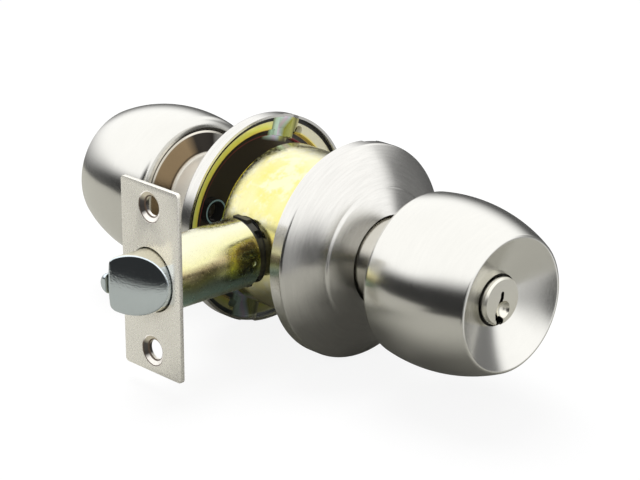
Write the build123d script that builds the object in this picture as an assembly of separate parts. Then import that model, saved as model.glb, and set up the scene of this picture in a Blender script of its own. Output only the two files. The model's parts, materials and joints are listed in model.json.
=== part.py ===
"""Cylindrical knob lock: two knobs, roses, drum chassis and a spring latch with a deadlatch plunger.

Frame: millimetres, +Z up. The spindle axis is Y, with the keyed outside knob toward -Y. The latch axis is X,
with the bolt toward -X. The two axes cross at the origin, in the middle of the drum. Pieces that repeat on
both sides are drawn for the inside, along +Y, and turned half a turn about Z for the outside.
"""

import os
from math import atan2, cos, hypot, radians, sin, sqrt, tan

from build123d import *

# Setting out: the two door faces, measured from the latch axis, and the backset
OUTSIDE_FACE = 20.0
INSIDE_FACE = 16.0
BACKSET = 60.0

# Working travel
KNOB_TURN = 60.0
BOLT_THROW = 12.0
PLUNGER_REACH = 12.0

# Fits
RUN_GAP = 0.08
SLIDE_GAP = 0.3
SEAT_GAP = 0.05

# Drum chassis
DRUM_RADIUS = 25.0
DRUM_WALL = 1.5
DRUM_WIDTH = 24.0
DRUM_SKIRT = 3.0
DRUM_SETBACK = 2.0
END_PLATE = 1.5
END_RIM = 4.0
HUB_WALL = 2.5
HUB_PAST_LINER = 1.3

# Roses and the liners that carry them
ROSE_RADIUS = 32.5
ROSE_SHEET = 0.8
ROSE_RIM = 4.3
ROSE_SKIRT = 11.4
ROSE_SKIRT_SLOPE = 31.55
ROSE_CREASE_STEP = 0.35
ROSE_COLLAR_SLOPE = 27.0
ROSE_CROWN = 0.5
ROSE_RIM_ROUND = 1.2
NECK_GAP = 0.7
PRY_NOTCH_WIDTH = 6.0
PRY_NOTCH_DEPTH = 1.1
OUTSIDE_NOTCH_TURN = -12.0
LINER_SHEET = 1.2
LINER_SETBACK = 2.0
LINER_FLANGE = 4.1
LINER_LEDGE = 1.7
LINER_LEDGE_DROP = 1.3
LINER_FLOOR = 5.6
LINER_DRAFT = 0.5
LINER_PORT = 1.5
LINER_PORT_TURN = 12.5
LINER_TURN = 17.0
TROUGH_WIDTH = 5.4
TROUGH_DEPTH = 2.4
BOSS_CIRCLE = 19.8
BOSS_RADIUS = 4.0
BOSS_HOLE = 2.9
BOSS_HEIGHT = 2.6

# Knobs
KNOB_FRONT = 84.1
KNOB_LENGTH = 35.45
KNOB_RADIUS = 25.25
KNOB_WIDEST = 11.4
KNOB_TAPER = 5.55
KNOB_RIM_ROUND = 0.8
KNOB_SHEET = 0.9
KNOB_ROLL = 4.75
KNOB_LIP = 0.9
KNOB_SHOULDER = 2.6
DISH_DEPTH = 5.85
DISH_BOW = 0.35
KEY_HOLE_RADIUS = 7.65
BUTTON_HOLE_RADIUS = 6.7
NECK_RADIUS = 13.15
NECK_SHEET = 1.0
NECK_ROUND = 0.8
BACK_CONE = 3.0
CORE_LENGTH = 4.6

# Spindles and retractor
SPINDLE_RADIUS = 9.42
SPINDLE_WALL = 1.4
COLLAR_RADIUS = 11.4
COLLAR_WIDTH = 1.2
EAR_WIDTH = 3.0
EAR_DEPTH = 4.2
EAR_LENGTH = 4.4
EAR_GAP = 0.15
SLAB_WIDTH = 6.8
SLAB_HEIGHT = 22.0
SLAB_FRONT = 19.0
SLAB_REAR = 7.0
SHOULDER_HEIGHT = 24.0
SLAB_WINDOW_HEIGHT = 6.6
SLAB_WINDOW_REAR = 3.3
JAW = 3.5
RETURN_SPRING_HEIGHT = 7.0
RETURN_SPRING_RADIUS = 2.1
RETURN_SPRING_WIRE = 0.6
RETURN_SPRING_TURNS = 9
RETURN_POCKET_DEPTH = 14.0

# Key cylinder and turn button
PLUG_RADIUS = 6.35
PLUG_HEAD_RADIUS = 7.0
PLUG_HEAD = 2.9
PLUG_CHAMFER = 0.55
PLUG_TAIL = 1.6
BODY_RADIUS = 9.4
TOWER_WIDTH = 7.0
TOWER_TOP = 15.0
CAP_THICKNESS = 0.8
PIN_COUNT = 5
PIN_PITCH = 3.9
PIN_RADIUS = 1.4
PIN_GAP = 0.06
KEY_PIN_FOOT = 2.6
KEY_PIN_STEP = 0.35
DRIVER_LENGTH = 3.2
PIN_SPRING_WIRE = 0.35
PIN_SPRING_TURNS = 4
KEYWAY_WIDTH = 1.25
KEYWAY_FOOT = 1.4
SCOOP_RADIUS = 2.6
SCOOP_DEPTH = 1.6
TAIL_WIDTH = 5.6
TAIL_THICKNESS = 1.6
TAIL_END = 4.2
CLIP_THICKNESS = 0.7
CLIP_WIDTH = 1.8
BUTTON_RADIUS = 6.0
BUTTON_STEM = 14.0
BUTTON_DISC = 1.8
BUTTON_GRIP = 6.0
BUTTON_GRIP_WIDTH = 3.6
BUTTON_GRIP_ROUND = 1.4
BUSH_RADIUS = 9.4

# Latch
PLATE_HEIGHT = 57.0
PLATE_WIDTH = 25.0
PLATE_THICKNESS = 1.4
PLATE_CORNER = 1.2
PLATE_HOLE_RADIUS = 9.6
SCREW_SPACING = 43.6
SCREW_HOLE = 3.0
SCREW_SINK = 4.7
SCREW_SINK_DEPTH = 1.2
SCREW_DIMPLE_WALL = 0.8
SCREW_DIMPLE = 2.2
TUBE_RADIUS = 10.45
TUBE_WALL = 0.9
TUBE_STANDOFF = 2.4
STAKE_RADIUS = 1.1
STAKE_DEPTH = 0.35
STAKE_INSET = 2.6
BOLT_RADIUS = 9.2
BOLT_FLAT = 5.5
BOLT_FLAT_ROUND = 2.5
BOLT_LENGTH = 20.0
BEVEL_FOOT = 1.2
BEVEL_ROUND = 0.7
BEVEL_CROWN = 70.0
PLUNGER_RADIUS = 3.0
PLUNGER_LENGTH = 15.0
PLUNGER_ROUND = 1.6
LATCH_SPRING_RADIUS = 3.8
LATCH_SPRING_WIRE = 0.9
LATCH_SPRING_TURNS = 7
PLUNGER_SPRING_RADIUS = 1.35
PLUNGER_SPRING_WIRE = 0.4
PLUNGER_SPRING_TURNS = 12
GUIDE_PLUG = 3.6
GUIDE_RADIUS = 9.8
GUIDE_ENTRY = 0.8
GUIDE_TOOTH = 1.3
STEM_HEIGHT = 3.0
STEM_THICKNESS = 1.6
HEAD_LENGTH = 1.5
HEAD_HEIGHT = 6.0

# Derived places
ROSE_CREASE_RADIUS = ROSE_RADIUS - ROSE_SKIRT
ROSE_CREASE_HEIGHT = ROSE_RIM + ROSE_SKIRT * tan(radians(ROSE_SKIRT_SLOPE))
ROSE_HOLE = NECK_RADIUS + NECK_GAP
ROSE_COLLAR = ROSE_CREASE_RADIUS - ROSE_CREASE_STEP - ROSE_HOLE
ROSE_HEIGHT = ROSE_CREASE_HEIGHT + ROSE_CREASE_STEP + ROSE_COLLAR * tan(radians(ROSE_COLLAR_SLOPE))
TUBE_END = DRUM_RADIUS + TUBE_STANDOFF
GUIDE_END = DRUM_RADIUS - GUIDE_ENTRY
HALF_DRUM = DRUM_WIDTH / 2
DRUM_BORE = DRUM_RADIUS - DRUM_WALL
PLATE_INNER = HALF_DRUM - END_PLATE
HUB_BORE = SPINDLE_RADIUS + RUN_GAP
HUB_RADIUS = HUB_BORE + HUB_WALL
NECK_BORE = NECK_RADIUS - NECK_SHEET
KNOB_RIM_RADIUS = KNOB_RADIUS - KNOB_TAPER
KNOB_MOUTH = KNOB_RADIUS - KNOB_ROLL
KNOB_REAR = KNOB_FRONT - KNOB_LENGTH
DISH_FLOOR = KNOB_FRONT - DISH_DEPTH
BACK_EDGE = KNOB_REAR + KNOB_LIP
NECK_END = BACK_EDGE - BACK_CONE
CORE_BORE = SPINDLE_RADIUS + SEAT_GAP
CORE_FRONT = BACK_EDGE + CORE_LENGTH
BODY_FRONT = DISH_FLOOR - KNOB_SHEET - SEAT_GAP
PLUG_BORE = PLUG_RADIUS + RUN_GAP
PLUG_REAR = CORE_FRONT - PLUG_TAIL
SHEAR_LINE = PLUG_BORE + SEAT_GAP
CAM_RADIUS = BOLT_THROW / radians(KNOB_TURN)
EAR_TOP = CAM_RADIUS - EAR_GAP
EAR_INNER = PLATE_INNER - SLIDE_GAP - COLLAR_WIDTH - EAR_LENGTH
SHOULDER_FRONT = EAR_WIDTH / 2 + EAR_GAP
SHOULDER_WIDTH = 2 * (PLATE_INNER - SLIDE_GAP - COLLAR_WIDTH - SLIDE_GAP)
PLATE_BACK = -BACKSET + PLATE_THICKNESS
TUBE_BORE = TUBE_RADIUS - TUBE_WALL
BOLT_TIP = -BACKSET - BOLT_THROW
BOLT_REAR = -BACKSET - BOLT_THROW + BOLT_LENGTH
GUIDE_FRONT = -TUBE_END - GUIDE_PLUG
PLUNGER_FLAT = BOLT_FLAT + SLIDE_GAP
PLUNGER_TIP = -BACKSET - PLUNGER_REACH
PLUNGER_REAR = PLUNGER_TIP + PLUNGER_LENGTH
HEAD_FRONT = -SLAB_FRONT + JAW + SEAT_GAP


def outside(shape):
    """Turns a piece drawn for the inside half a turn about Z, to the outside."""
    return Rot(0, 0, 180) * shape


def barrel(radius, start, stop, bore=0.0):
    """Makes a cylinder or tube about the Y axis between two places along it."""
    solid = Rot(-90, 0, 0) * Cylinder(radius, stop - start, align=(Align.CENTER, Align.CENTER, Align.MIN))
    if bore > 0:
        tool = Cylinder(bore, stop - start, align=(Align.CENTER, Align.CENTER, Align.MIN))
        solid -= Rot(-90, 0, 0) * tool
    return Pos(0, start, 0) * solid


def rod(radius, start, stop, y=0.0, z=0.0):
    """Makes a cylinder along X between two places."""
    solid = Rot(0, 90, 0) * Cylinder(radius, stop - start, align=(Align.CENTER, Align.CENTER, Align.MIN))
    return Pos(start, y, z) * solid


def slab(x, y, z):
    """Makes a block from its (low, high) limits along each axis."""
    size = [high - low for low, high in (x, y, z)]
    middle = [(low + high) / 2 for low, high in (x, y, z)]
    return Pos(*middle) * Box(*size)


def turned(edges):
    """Revolves a closed profile of (radius, along) edges about the Y axis."""
    return revolve(make_face(edges), axis=Axis.Y)


def turned_polygon(*points):
    """Revolves a closed polygon of (radius, along) points about the Y axis."""
    return turned(Polyline(*points, close=True))


def turned_sheet(path, thickness):
    """Revolves a pressed sheet: the path is its outer face and the thickness lies on its left."""
    section = path.offset_2d(thickness, side=Side.LEFT, closed=True)
    return revolve(make_face(section), axis=Axis.Y)


def corner(wire, place, radius):
    """Rounds the corner of a wire that is nearest to a place."""
    spot = Vector(*place)
    nearest = min(wire.vertices(), key=lambda v: (Vector(v) - spot).length)
    return wire.fillet_2d(radius, [nearest])


def coil(radius, wire, turns, start, stop, y=0.0, z=0.0):
    """Makes a round wire spring along X between two places, with its wire inside both ends."""
    length = stop - start - wire
    path = Helix(pitch=length / turns, height=length, radius=radius - wire / 2)
    section = Plane(origin=path @ 0, z_dir=path % 0) * RegularPolygon(wire / 2, 6)
    solid = sweep(section, path=path, is_frenet=True)
    return Pos(start + wire / 2, y, z) * Rot(0, 90, 0) * solid


# Drum chassis

def drum_shell():
    """Rolled drum wall with a round latch window in its -X side and a skirt past the outside end plate."""
    wall = barrel(DRUM_RADIUS, -HALF_DRUM - DRUM_SKIRT, HALF_DRUM - DRUM_SETBACK, DRUM_BORE)
    return wall - rod(GUIDE_RADIUS + SLIDE_GAP, -DRUM_RADIUS - 1, 0)


def hub_plate(face):
    """Cupped end plate in the drum's bore with the hub that carries a spindle and a rose liner."""
    hub_end = face + LINER_FLOOR + LINER_SHEET + HUB_PAST_LINER
    cup = turned_polygon(
        (HUB_BORE, PLATE_INNER),
        (DRUM_BORE - DRUM_WALL, PLATE_INNER),
        (DRUM_BORE - DRUM_WALL, HALF_DRUM - END_RIM),
        (DRUM_BORE, HALF_DRUM - END_RIM),
        (DRUM_BORE, HALF_DRUM),
        (HUB_RADIUS, HALF_DRUM),
        (HUB_RADIUS, hub_end),
        (HUB_BORE, hub_end),
    )
    return cup - boss_bores(PLATE_INNER - 1, HALF_DRUM + 1)


def boss_places():
    """Returns the (x, z) places of the two fixing screws on their turned circle."""
    turn = radians(LINER_TURN)
    x, z = -BOSS_CIRCLE * cos(turn), BOSS_CIRCLE * sin(turn)
    return (x, z), (-x, -z)


def boss_bores(start, stop):
    """Cutters for the two fixing screws between two places along Y."""
    return [Pos(x, 0, z) * barrel(BOSS_HOLE, start, stop) for x, z in boss_places()]


# Roses and liners

def under_rose(face, depth):
    """Solid that fills a rose up to a depth below its outer face."""
    rim = (ROSE_RADIUS, face + ROSE_RIM)
    crease = (ROSE_CREASE_RADIUS, face + ROSE_CREASE_HEIGHT)
    slope = hypot(rim[0] - crease[0], rim[1] - crease[1])
    drop = depth * slope / (rim[0] - crease[0])
    return turned_polygon(
        (0, face),
        (ROSE_RADIUS - ROSE_SHEET - SEAT_GAP, face),
        (ROSE_RADIUS - ROSE_SHEET - SEAT_GAP, rim[1] - drop),
        (crease[0], crease[1] - drop),
        (0, crease[1] - drop),
    )


def rose(face, notch_turn):
    """Spun rose with a plain rim, a crease ring, a neck hole and two pry notches in its edge."""
    rim = (ROSE_RADIUS, face + ROSE_RIM)
    crease = (ROSE_CREASE_RADIUS, face + ROSE_CREASE_HEIGHT)
    step = (ROSE_CREASE_RADIUS - ROSE_CREASE_STEP, face + ROSE_CREASE_HEIGHT + ROSE_CREASE_STEP)
    lip = (ROSE_HOLE, face + ROSE_HEIGHT)
    slope = hypot(rim[0] - crease[0], rim[1] - crease[1])
    crown = (
        (rim[0] + crease[0]) / 2 + ROSE_CROWN * (crease[1] - rim[1]) / slope,
        (rim[1] + crease[1]) / 2 + ROSE_CROWN * (rim[0] - crease[0]) / slope,
    )
    path = Wire([
        Line((ROSE_RADIUS, face), rim),
        ThreePointArc(rim, crown, crease),
        Line(crease, step),
        Line(step, lip),
    ])
    shell = turned_sheet(corner(path, rim, ROSE_RIM_ROUND), ROSE_SHEET)
    half = PRY_NOTCH_WIDTH / 2
    reach = ROSE_RADIUS + 1
    notches = slab((-half, half), (face - 1, face + PRY_NOTCH_DEPTH), (-reach, reach))
    return shell - Rot(0, notch_turn, 0) * notches


def liner(face, bosses):
    """Pressed zinc liner inside a rose: flange, ledge, floor, hub hole and two troughs behind the notches."""
    edge = ROSE_RADIUS - ROSE_SHEET - SEAT_GAP
    bend = edge - LINER_FLANGE
    seat = HUB_RADIUS + SEAT_GAP
    top = face + LINER_SETBACK
    ledge = top + LINER_LEDGE_DROP
    floor = face + LINER_FLOOR
    inner = bend - LINER_DRAFT - LINER_LEDGE
    sheet = turned_polygon(
        (seat, floor),
        (inner - LINER_DRAFT, floor),
        (inner, ledge),
        (bend - LINER_DRAFT, ledge),
        (bend, top),
        (edge, top),
        (edge, top + LINER_SHEET),
        (bend - LINER_DRAFT + LINER_SHEET, ledge + LINER_SHEET),
        (inner + LINER_SHEET, ledge + LINER_SHEET),
        (inner + LINER_SHEET - LINER_DRAFT, floor + LINER_SHEET),
        (seat, floor + LINER_SHEET),
    )
    half = TROUGH_WIDTH / 2
    low = top + TROUGH_DEPTH
    side = half + LINER_SHEET
    skin = ROSE_SHEET + SLIDE_GAP
    channel = slab((-side, side), (top, low + LINER_SHEET), (inner, edge))
    channel &= under_rose(face, skin)
    trough = slab((-half, half), (face, low), (inner - LINER_DRAFT, edge + 1))
    trough &= under_rose(face, skin + LINER_SHEET) + barrel(ROSE_RADIUS + 1, face, top)
    port = Pos(0, 0, bend + LINER_PORT / 2) * barrel(LINER_PORT, face, floor)
    for spin in (0, 180):
        sheet += Rot(0, spin, 0) * channel
    for spin in (0, 180):
        sheet -= Rot(0, spin, 0) * trough
        sheet -= Rot(0, spin + LINER_PORT_TURN, 0) * port
    sheet = Rot(0, LINER_TURN, 0) * sheet
    if not bosses:
        return sheet
    for x, z in boss_places():
        sheet += Pos(x, 0, z) * barrel(BOSS_RADIUS, floor - BOSS_HEIGHT, floor + LINER_SHEET)
    return sheet - boss_bores(floor - BOSS_HEIGHT - 1, floor + LINER_SHEET + 1)


# Knobs

def knob_shell(hole):
    """Drawn knob shell: rolled mouth, shoulder, barrel arc, rim and dished front with a hole."""
    span = KNOB_LENGTH - KNOB_WIDEST
    arc = (span ** 2 + KNOB_TAPER ** 2) / (2 * KNOB_TAPER)
    rear_radius = KNOB_RADIUS - arc + sqrt(arc ** 2 - KNOB_WIDEST ** 2)
    mouth = (KNOB_MOUTH, KNOB_REAR)
    shoulder = (rear_radius, KNOB_REAR)
    rim = (KNOB_RIM_RADIUS, KNOB_FRONT)
    dish_middle = ((KNOB_RIM_RADIUS + hole) / 2, (KNOB_FRONT + DISH_FLOOR) / 2 - DISH_BOW)
    path = Wire([
        Line((KNOB_MOUTH, BACK_EDGE), mouth),
        Line(mouth, shoulder),
        ThreePointArc(shoulder, (KNOB_RADIUS, KNOB_REAR + KNOB_WIDEST), rim),
        ThreePointArc(rim, dish_middle, (hole, DISH_FLOOR)),
    ])
    path = corner(path, rim, KNOB_RIM_ROUND)
    path = corner(path, shoulder, KNOB_SHOULDER)
    path = corner(path, mouth, KNOB_LIP * 0.8)
    return turned_sheet(path, KNOB_SHEET)


def neck(face):
    """Drawn neck that flares into the back cover of a knob."""
    start = face + LINER_FLOOR + LINER_SHEET + HUB_PAST_LINER - 0.5
    bend = (NECK_RADIUS, NECK_END)
    path = Wire([
        Line((KNOB_MOUTH - SEAT_GAP, BACK_EDGE), bend),
        Line(bend, (NECK_RADIUS, start)),
    ])
    path = corner(path, bend, NECK_ROUND)
    section = path.offset_2d(NECK_SHEET, side=Side.RIGHT, closed=True)
    return revolve(make_face(section), axis=Axis.Y)


def knob_core(face):
    """Cast core: a sleeve on the spindle that fills the neck, with a flange behind the back cover."""
    start = face + LINER_FLOOR + LINER_SHEET + HUB_PAST_LINER + SLIDE_GAP
    sleeve = NECK_BORE - SEAT_GAP
    flange = KNOB_MOUTH - 2 * KNOB_SHEET
    tilt = atan2(BACK_CONE, KNOB_MOUTH - SEAT_GAP - NECK_RADIUS)
    lift = (NECK_SHEET + SEAT_GAP) / cos(tilt)

    def under_cover(radius):
        return NECK_END + (radius - NECK_RADIUS) * sin(tilt) / cos(tilt) + lift

    return turned_polygon(
        (CORE_BORE, start),
        (sleeve, start),
        (sleeve, under_cover(sleeve)),
        (flange, under_cover(flange)),
        (flange, CORE_FRONT),
        (CORE_BORE, CORE_FRONT),
    )


def spindle():
    """Spindle tube with a collar inside the drum and two ears that push the retractor."""
    collar = PLATE_INNER - SLIDE_GAP
    bore = SPINDLE_RADIUS - SPINDLE_WALL
    tube = barrel(SPINDLE_RADIUS, collar - COLLAR_WIDTH, CORE_FRONT, bore)
    tube += barrel(COLLAR_RADIUS, collar - COLLAR_WIDTH, collar, bore)
    half = EAR_WIDTH / 2
    ear = slab((-half, half), (EAR_INNER, collar), (EAR_TOP - EAR_DEPTH, EAR_TOP))
    limit = barrel(hypot(EAR_TOP, half), EAR_INNER, collar)
    return tube + (ear & limit) + (Rot(0, 180, 0) * ear & limit)


# Key cylinder, drawn for the inside and turned to the outside

def pin_places():
    """Returns the places of the pin chambers along Y."""
    middle = (CORE_FRONT + BODY_FRONT) / 2
    first = middle - PIN_PITCH * (PIN_COUNT - 1) / 2
    return [first + PIN_PITCH * i for i in range(PIN_COUNT)]


def upright(radius, place, low, high):
    """Makes a pin or a drill along Z at a place along Y."""
    solid = Cylinder(radius, high - low, align=(Align.CENTER, Align.CENTER, Align.MIN))
    return Pos(0, place, low) * solid


def chambers(low, high):
    """Cutters for the pin chambers."""
    return [upright(PIN_RADIUS + PIN_GAP, place, low, high) for place in pin_places()]


def cylinder_body():
    """Cylinder body: a barrel around the plug with a tower for the driver pins."""
    half = TOWER_WIDTH / 2
    body = barrel(BODY_RADIUS, CORE_FRONT, BODY_FRONT)
    ends = pin_places()
    reach = 2 * PIN_RADIUS
    tower = slab((-half, half), (ends[0] - reach, ends[-1] + reach), (0, TOWER_TOP - CAP_THICKNESS))
    return body + tower - barrel(PLUG_BORE, CORE_FRONT - 1, BODY_FRONT + 1) - chambers(0, TOWER_TOP + 1)


def cylinder_cap():
    """Strip that closes the pin chambers on top of the tower."""
    half = TOWER_WIDTH / 2
    ends = pin_places()
    reach = 2 * PIN_RADIUS
    return slab((-half, half), (ends[0] - reach, ends[-1] + reach), (TOWER_TOP - CAP_THICKNESS, TOWER_TOP))


def driver_pins():
    """Driver pins, all at the shear line as with the right key in place."""
    top = SHEAR_LINE + DRIVER_LENGTH
    return [upright(PIN_RADIUS, place, SHEAR_LINE, top) for place in pin_places()]


def pin_springs():
    """Springs between the driver pins and the cap."""
    low = SHEAR_LINE + DRIVER_LENGTH
    length = TOWER_TOP - CAP_THICKNESS - low
    return [upright_coil(place, low, length) for place in pin_places()]


def upright_coil(place, low, length):
    """Makes one small spring along Z at a place along Y."""
    wire = PIN_SPRING_WIRE / 2
    rise = length - PIN_SPRING_WIRE
    path = Helix(pitch=rise / PIN_SPRING_TURNS, height=rise, radius=PIN_RADIUS - wire - PIN_GAP)
    section = Plane(origin=path @ 0, z_dir=path % 0) * RegularPolygon(wire, 4)
    return Pos(0, place, low + wire) * sweep(section, path=path, is_frenet=True)


def key_pins():
    """Key pins of different lengths, all level with the plug's edge."""
    top = sqrt(PLUG_RADIUS ** 2 - PIN_RADIUS ** 2)
    cuts = (0, 3, 1, 4, 2)
    pins = []
    for index, place in enumerate(pin_places()):
        foot = KEY_PIN_FOOT + KEY_PIN_STEP * cuts[index % len(cuts)]
        tip = Pos(0, place, foot) * Cone(
            PIN_RADIUS * 0.45, PIN_RADIUS, PIN_RADIUS * 0.6, align=(Align.CENTER, Align.CENTER, Align.MIN)
        )
        pins.append(tip + upright(PIN_RADIUS, place, foot + PIN_RADIUS * 0.6, top))
    return pins


def keyway(start, stop):
    """Cutter for the keyway: a slot that bends around the key's groove and opens at the bottom."""
    reach = PLUG_HEAD_RADIUS + 1
    path = Polyline(
        (0, 2.4), (0.15, 1.1), (0.9, -0.3), (1.6, -1.7), (2.2, -3.2), (2.1, -4.6), (1.0, -5.9), (0.4, -reach)
    )
    slot = make_face(path.offset_2d(KEYWAY_WIDTH / 2)) + Pos(0.9, -5.6) * Circle(KEYWAY_FOOT)
    return Pos(0, stop, 0) * extrude(Plane.XZ * slot, stop - start)


def cylinder_plug():
    """Key plug: chamfered head, barrel, keyway, scoop beside it and the pin holes."""
    head_front = BODY_FRONT + SEAT_GAP + PLUG_HEAD
    body = turned_polygon(
        (0, PLUG_REAR),
        (PLUG_RADIUS, PLUG_REAR),
        (PLUG_RADIUS, BODY_FRONT + SEAT_GAP),
        (PLUG_HEAD_RADIUS, BODY_FRONT + SEAT_GAP),
        (PLUG_HEAD_RADIUS, head_front - PLUG_CHAMFER),
        (PLUG_HEAD_RADIUS - PLUG_CHAMFER, head_front),
        (0, head_front),
    )
    bowl = (SCOOP_RADIUS ** 2 + SCOOP_DEPTH ** 2) / (2 * SCOOP_DEPTH)
    scoop = Pos(-0.4, head_front + bowl - SCOOP_DEPTH, -2.5) * Sphere(bowl)
    groove = barrel(PLUG_RADIUS + 1, *clip_span(), PLUG_RADIUS - CLIP_WIDTH / 2)
    return body - keyway(PLUG_REAR + PLUG_TAIL, head_front + 1) - scoop - chambers(0, PLUG_RADIUS + 1) - groove


def clip_span():
    """Returns where the plug's retaining clip lies along Y."""
    return CORE_FRONT - SEAT_GAP - CLIP_THICKNESS, CORE_FRONT - SEAT_GAP


def plug_clip():
    """Open ring in the plug's groove that keeps the plug in the cylinder body."""
    ring = barrel(PLUG_RADIUS + CLIP_WIDTH / 2, *clip_span(), PLUG_RADIUS - CLIP_WIDTH / 2)
    return ring - slab((-2, 2), (0, KNOB_FRONT), (-2 * PLUG_RADIUS, 0))


def flat_bar(stop):
    """Flat bar along Y from the middle of the drum to a piece that turns it."""
    half = TAIL_WIDTH / 2
    thick = TAIL_THICKNESS / 2
    return slab((-thick, thick), (TAIL_END, stop), (-half, half))


def button_bush():
    """Bush that guides the turn button inside the inside knob."""
    bore = BUTTON_RADIUS + RUN_GAP
    return barrel(BUSH_RADIUS, CORE_FRONT, BODY_FRONT, bore)


def turn_button():
    """Turn button: a round stem in the bush and a rounded finger grip on a disc."""
    disc = BODY_FRONT + SEAT_GAP
    top = disc + BUTTON_DISC
    body = barrel(BUTTON_RADIUS, disc - BUTTON_STEM, top)
    half = BUTTON_GRIP_WIDTH / 2
    grip = slab((-half, half), (top, top + BUTTON_GRIP), (-BUTTON_RADIUS, BUTTON_RADIUS))
    grip = fillet(grip.faces().sort_by(Axis.Y)[-1].edges(), BUTTON_GRIP_ROUND)
    return body + (grip & barrel(BUTTON_RADIUS, top, top + BUTTON_GRIP))


# Retractor

def retractor():
    """Cast retractor: slab with jaws for the latch tail, shoulders for the ears and spring pockets."""
    half = SLAB_WIDTH / 2
    tall = SLAB_HEIGHT / 2
    body = slab((-SLAB_FRONT, SLAB_REAR), (-half, half), (-tall, tall))
    wide = SHOULDER_WIDTH / 2
    high = SHOULDER_HEIGHT / 2
    shoulders = slab((SHOULDER_FRONT, SLAB_REAR), (-wide, wide), (-high, high))
    body += shoulders & Pos(-BOLT_THROW, 0, 0) * barrel(DRUM_BORE - DRUM_WALL - SLIDE_GAP, -wide, wide)
    window = SLAB_WINDOW_HEIGHT / 2
    body -= slab((-SLAB_FRONT + JAW, SLAB_WINDOW_REAR), (-wide - 1, wide + 1), (-window, window))
    slot = STEM_HEIGHT / 2 + SLIDE_GAP
    body -= slab((-SLAB_FRONT - 1, 0), (-half - 1, half + 1), (-slot, slot))
    for z in (-RETURN_SPRING_HEIGHT, RETURN_SPRING_HEIGHT):
        pocket = RETURN_SPRING_RADIUS + SLIDE_GAP
        body -= rod(pocket, SLAB_REAR - RETURN_POCKET_DEPTH, SLAB_REAR + 1, 0, z)
    return body


def retractor_springs():
    """Two return springs between the retractor and the drum wall."""
    top = RETURN_SPRING_HEIGHT + RETURN_SPRING_RADIUS
    wall = sqrt(DRUM_BORE ** 2 - top ** 2) - SLIDE_GAP
    start = SLAB_REAR - RETURN_POCKET_DEPTH + SEAT_GAP
    return [
        coil(RETURN_SPRING_RADIUS, RETURN_SPRING_WIRE, RETURN_SPRING_TURNS, start, wall, 0, z)
        for z in (-RETURN_SPRING_HEIGHT, RETURN_SPRING_HEIGHT)
    ]


# Latch

def faceplate():
    """Faceplate with a round bolt hole and two dimpled holes for countersunk screws."""
    blank = Pos(-BACKSET, 0, 0) * Rot(0, 90, 0) * extrude(
        RectangleRounded(PLATE_HEIGHT, PLATE_WIDTH, PLATE_CORNER), PLATE_THICKNESS
    )
    blank -= rod(PLATE_HOLE_RADIUS, -BACKSET - 1, PLATE_BACK + 1)
    for z in (-SCREW_SPACING / 2, SCREW_SPACING / 2):
        blank += rod(SCREW_HOLE + SCREW_DIMPLE_WALL, -BACKSET + SCREW_SINK_DEPTH, -BACKSET + SCREW_DIMPLE, 0, z)
    for z in (-SCREW_SPACING / 2, SCREW_SPACING / 2):
        sink = Cone(SCREW_SINK, SCREW_HOLE, SCREW_SINK_DEPTH, align=(Align.CENTER, Align.CENTER, Align.MIN))
        blank -= Pos(-BACKSET, 0, z) * Rot(0, 90, 0) * sink
        blank -= rod(SCREW_HOLE, -BACKSET, -BACKSET + SCREW_DIMPLE + 1, 0, z)
    return blank


def latch_tube():
    """Latch tube with a staked dimple near its end."""
    tube = rod(TUBE_RADIUS, PLATE_BACK, -TUBE_END) - rod(TUBE_BORE, PLATE_BACK - 1, -TUBE_END + 1)
    for spin in (0, 180):
        dimple = Pos(-TUBE_END - STAKE_INSET, -TUBE_RADIUS - STAKE_RADIUS + STAKE_DEPTH, 0) * Sphere(STAKE_RADIUS)
        tube -= Rot(spin, 0, 0) * dimple
    return tube


def end_guide():
    """Guide that closes the tube's end and enters the drum's window, with teeth around it."""
    body = rod(TUBE_BORE - SEAT_GAP, GUIDE_FRONT, -TUBE_END)
    body += rod(GUIDE_RADIUS, -TUBE_END, -GUIDE_END)
    half = TUBE_RADIUS
    for spin in (45, 135, 225, 315):
        notch = slab((-TUBE_END + GUIDE_TOOTH, -GUIDE_END + 1), (GUIDE_RADIUS - GUIDE_TOOTH, GUIDE_RADIUS + 1),
                     (-GUIDE_TOOTH, GUIDE_TOOTH))
        body -= Rot(spin, 0, 0) * notch
    hook = slab((-TUBE_END + GUIDE_TOOTH, -GUIDE_END), (-STEM_HEIGHT, STEM_HEIGHT), (-half, half))
    stem = slab(
        (GUIDE_FRONT - 1, -GUIDE_END + 1),
        (-STEM_THICKNESS / 2 - SLIDE_GAP, STEM_THICKNESS / 2 + SLIDE_GAP),
        (-STEM_HEIGHT / 2 - SLIDE_GAP, STEM_HEIGHT / 2 + SLIDE_GAP),
    )
    return body + hook - stem


def latch_bolt():
    """Round latch bolt with a flat for the plunger and a bevelled, rounded nose."""
    bar = rod(BOLT_RADIUS, BOLT_TIP, BOLT_REAR)
    bar -= slab((BOLT_TIP - 1, BOLT_REAR + 1), (BOLT_FLAT, BOLT_RADIUS + 1), (-BOLT_RADIUS, BOLT_RADIUS))
    bar = fillet(bar.edges().filter_by(Axis.X).group_by(Axis.Y)[-1], BOLT_FLAT_ROUND)
    foot = (-BACKSET - BEVEL_FOOT, -BOLT_RADIUS)
    tip = (BOLT_TIP, BOLT_FLAT)
    run = Vector(tip[0] - foot[0], tip[1] - foot[1])
    out = run.normalized().rotate(Axis.Z, 90)
    middle = Vector(*foot) + run * 0.5
    drum = Plane(origin=middle - out * BEVEL_CROWN, z_dir=run) * Cylinder(BEVEL_CROWN, 2 * BOLT_LENGTH)
    reach = (-BOLT_RADIUS - 1, BOLT_RADIUS + 1)
    bar &= drum + slab((foot[0], BOLT_REAR + 1), reach, reach)
    bevel = min(bar.faces(), key=lambda f: (f.center() - middle).length)
    return fillet(bevel.edges(), BEVEL_ROUND)


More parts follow.
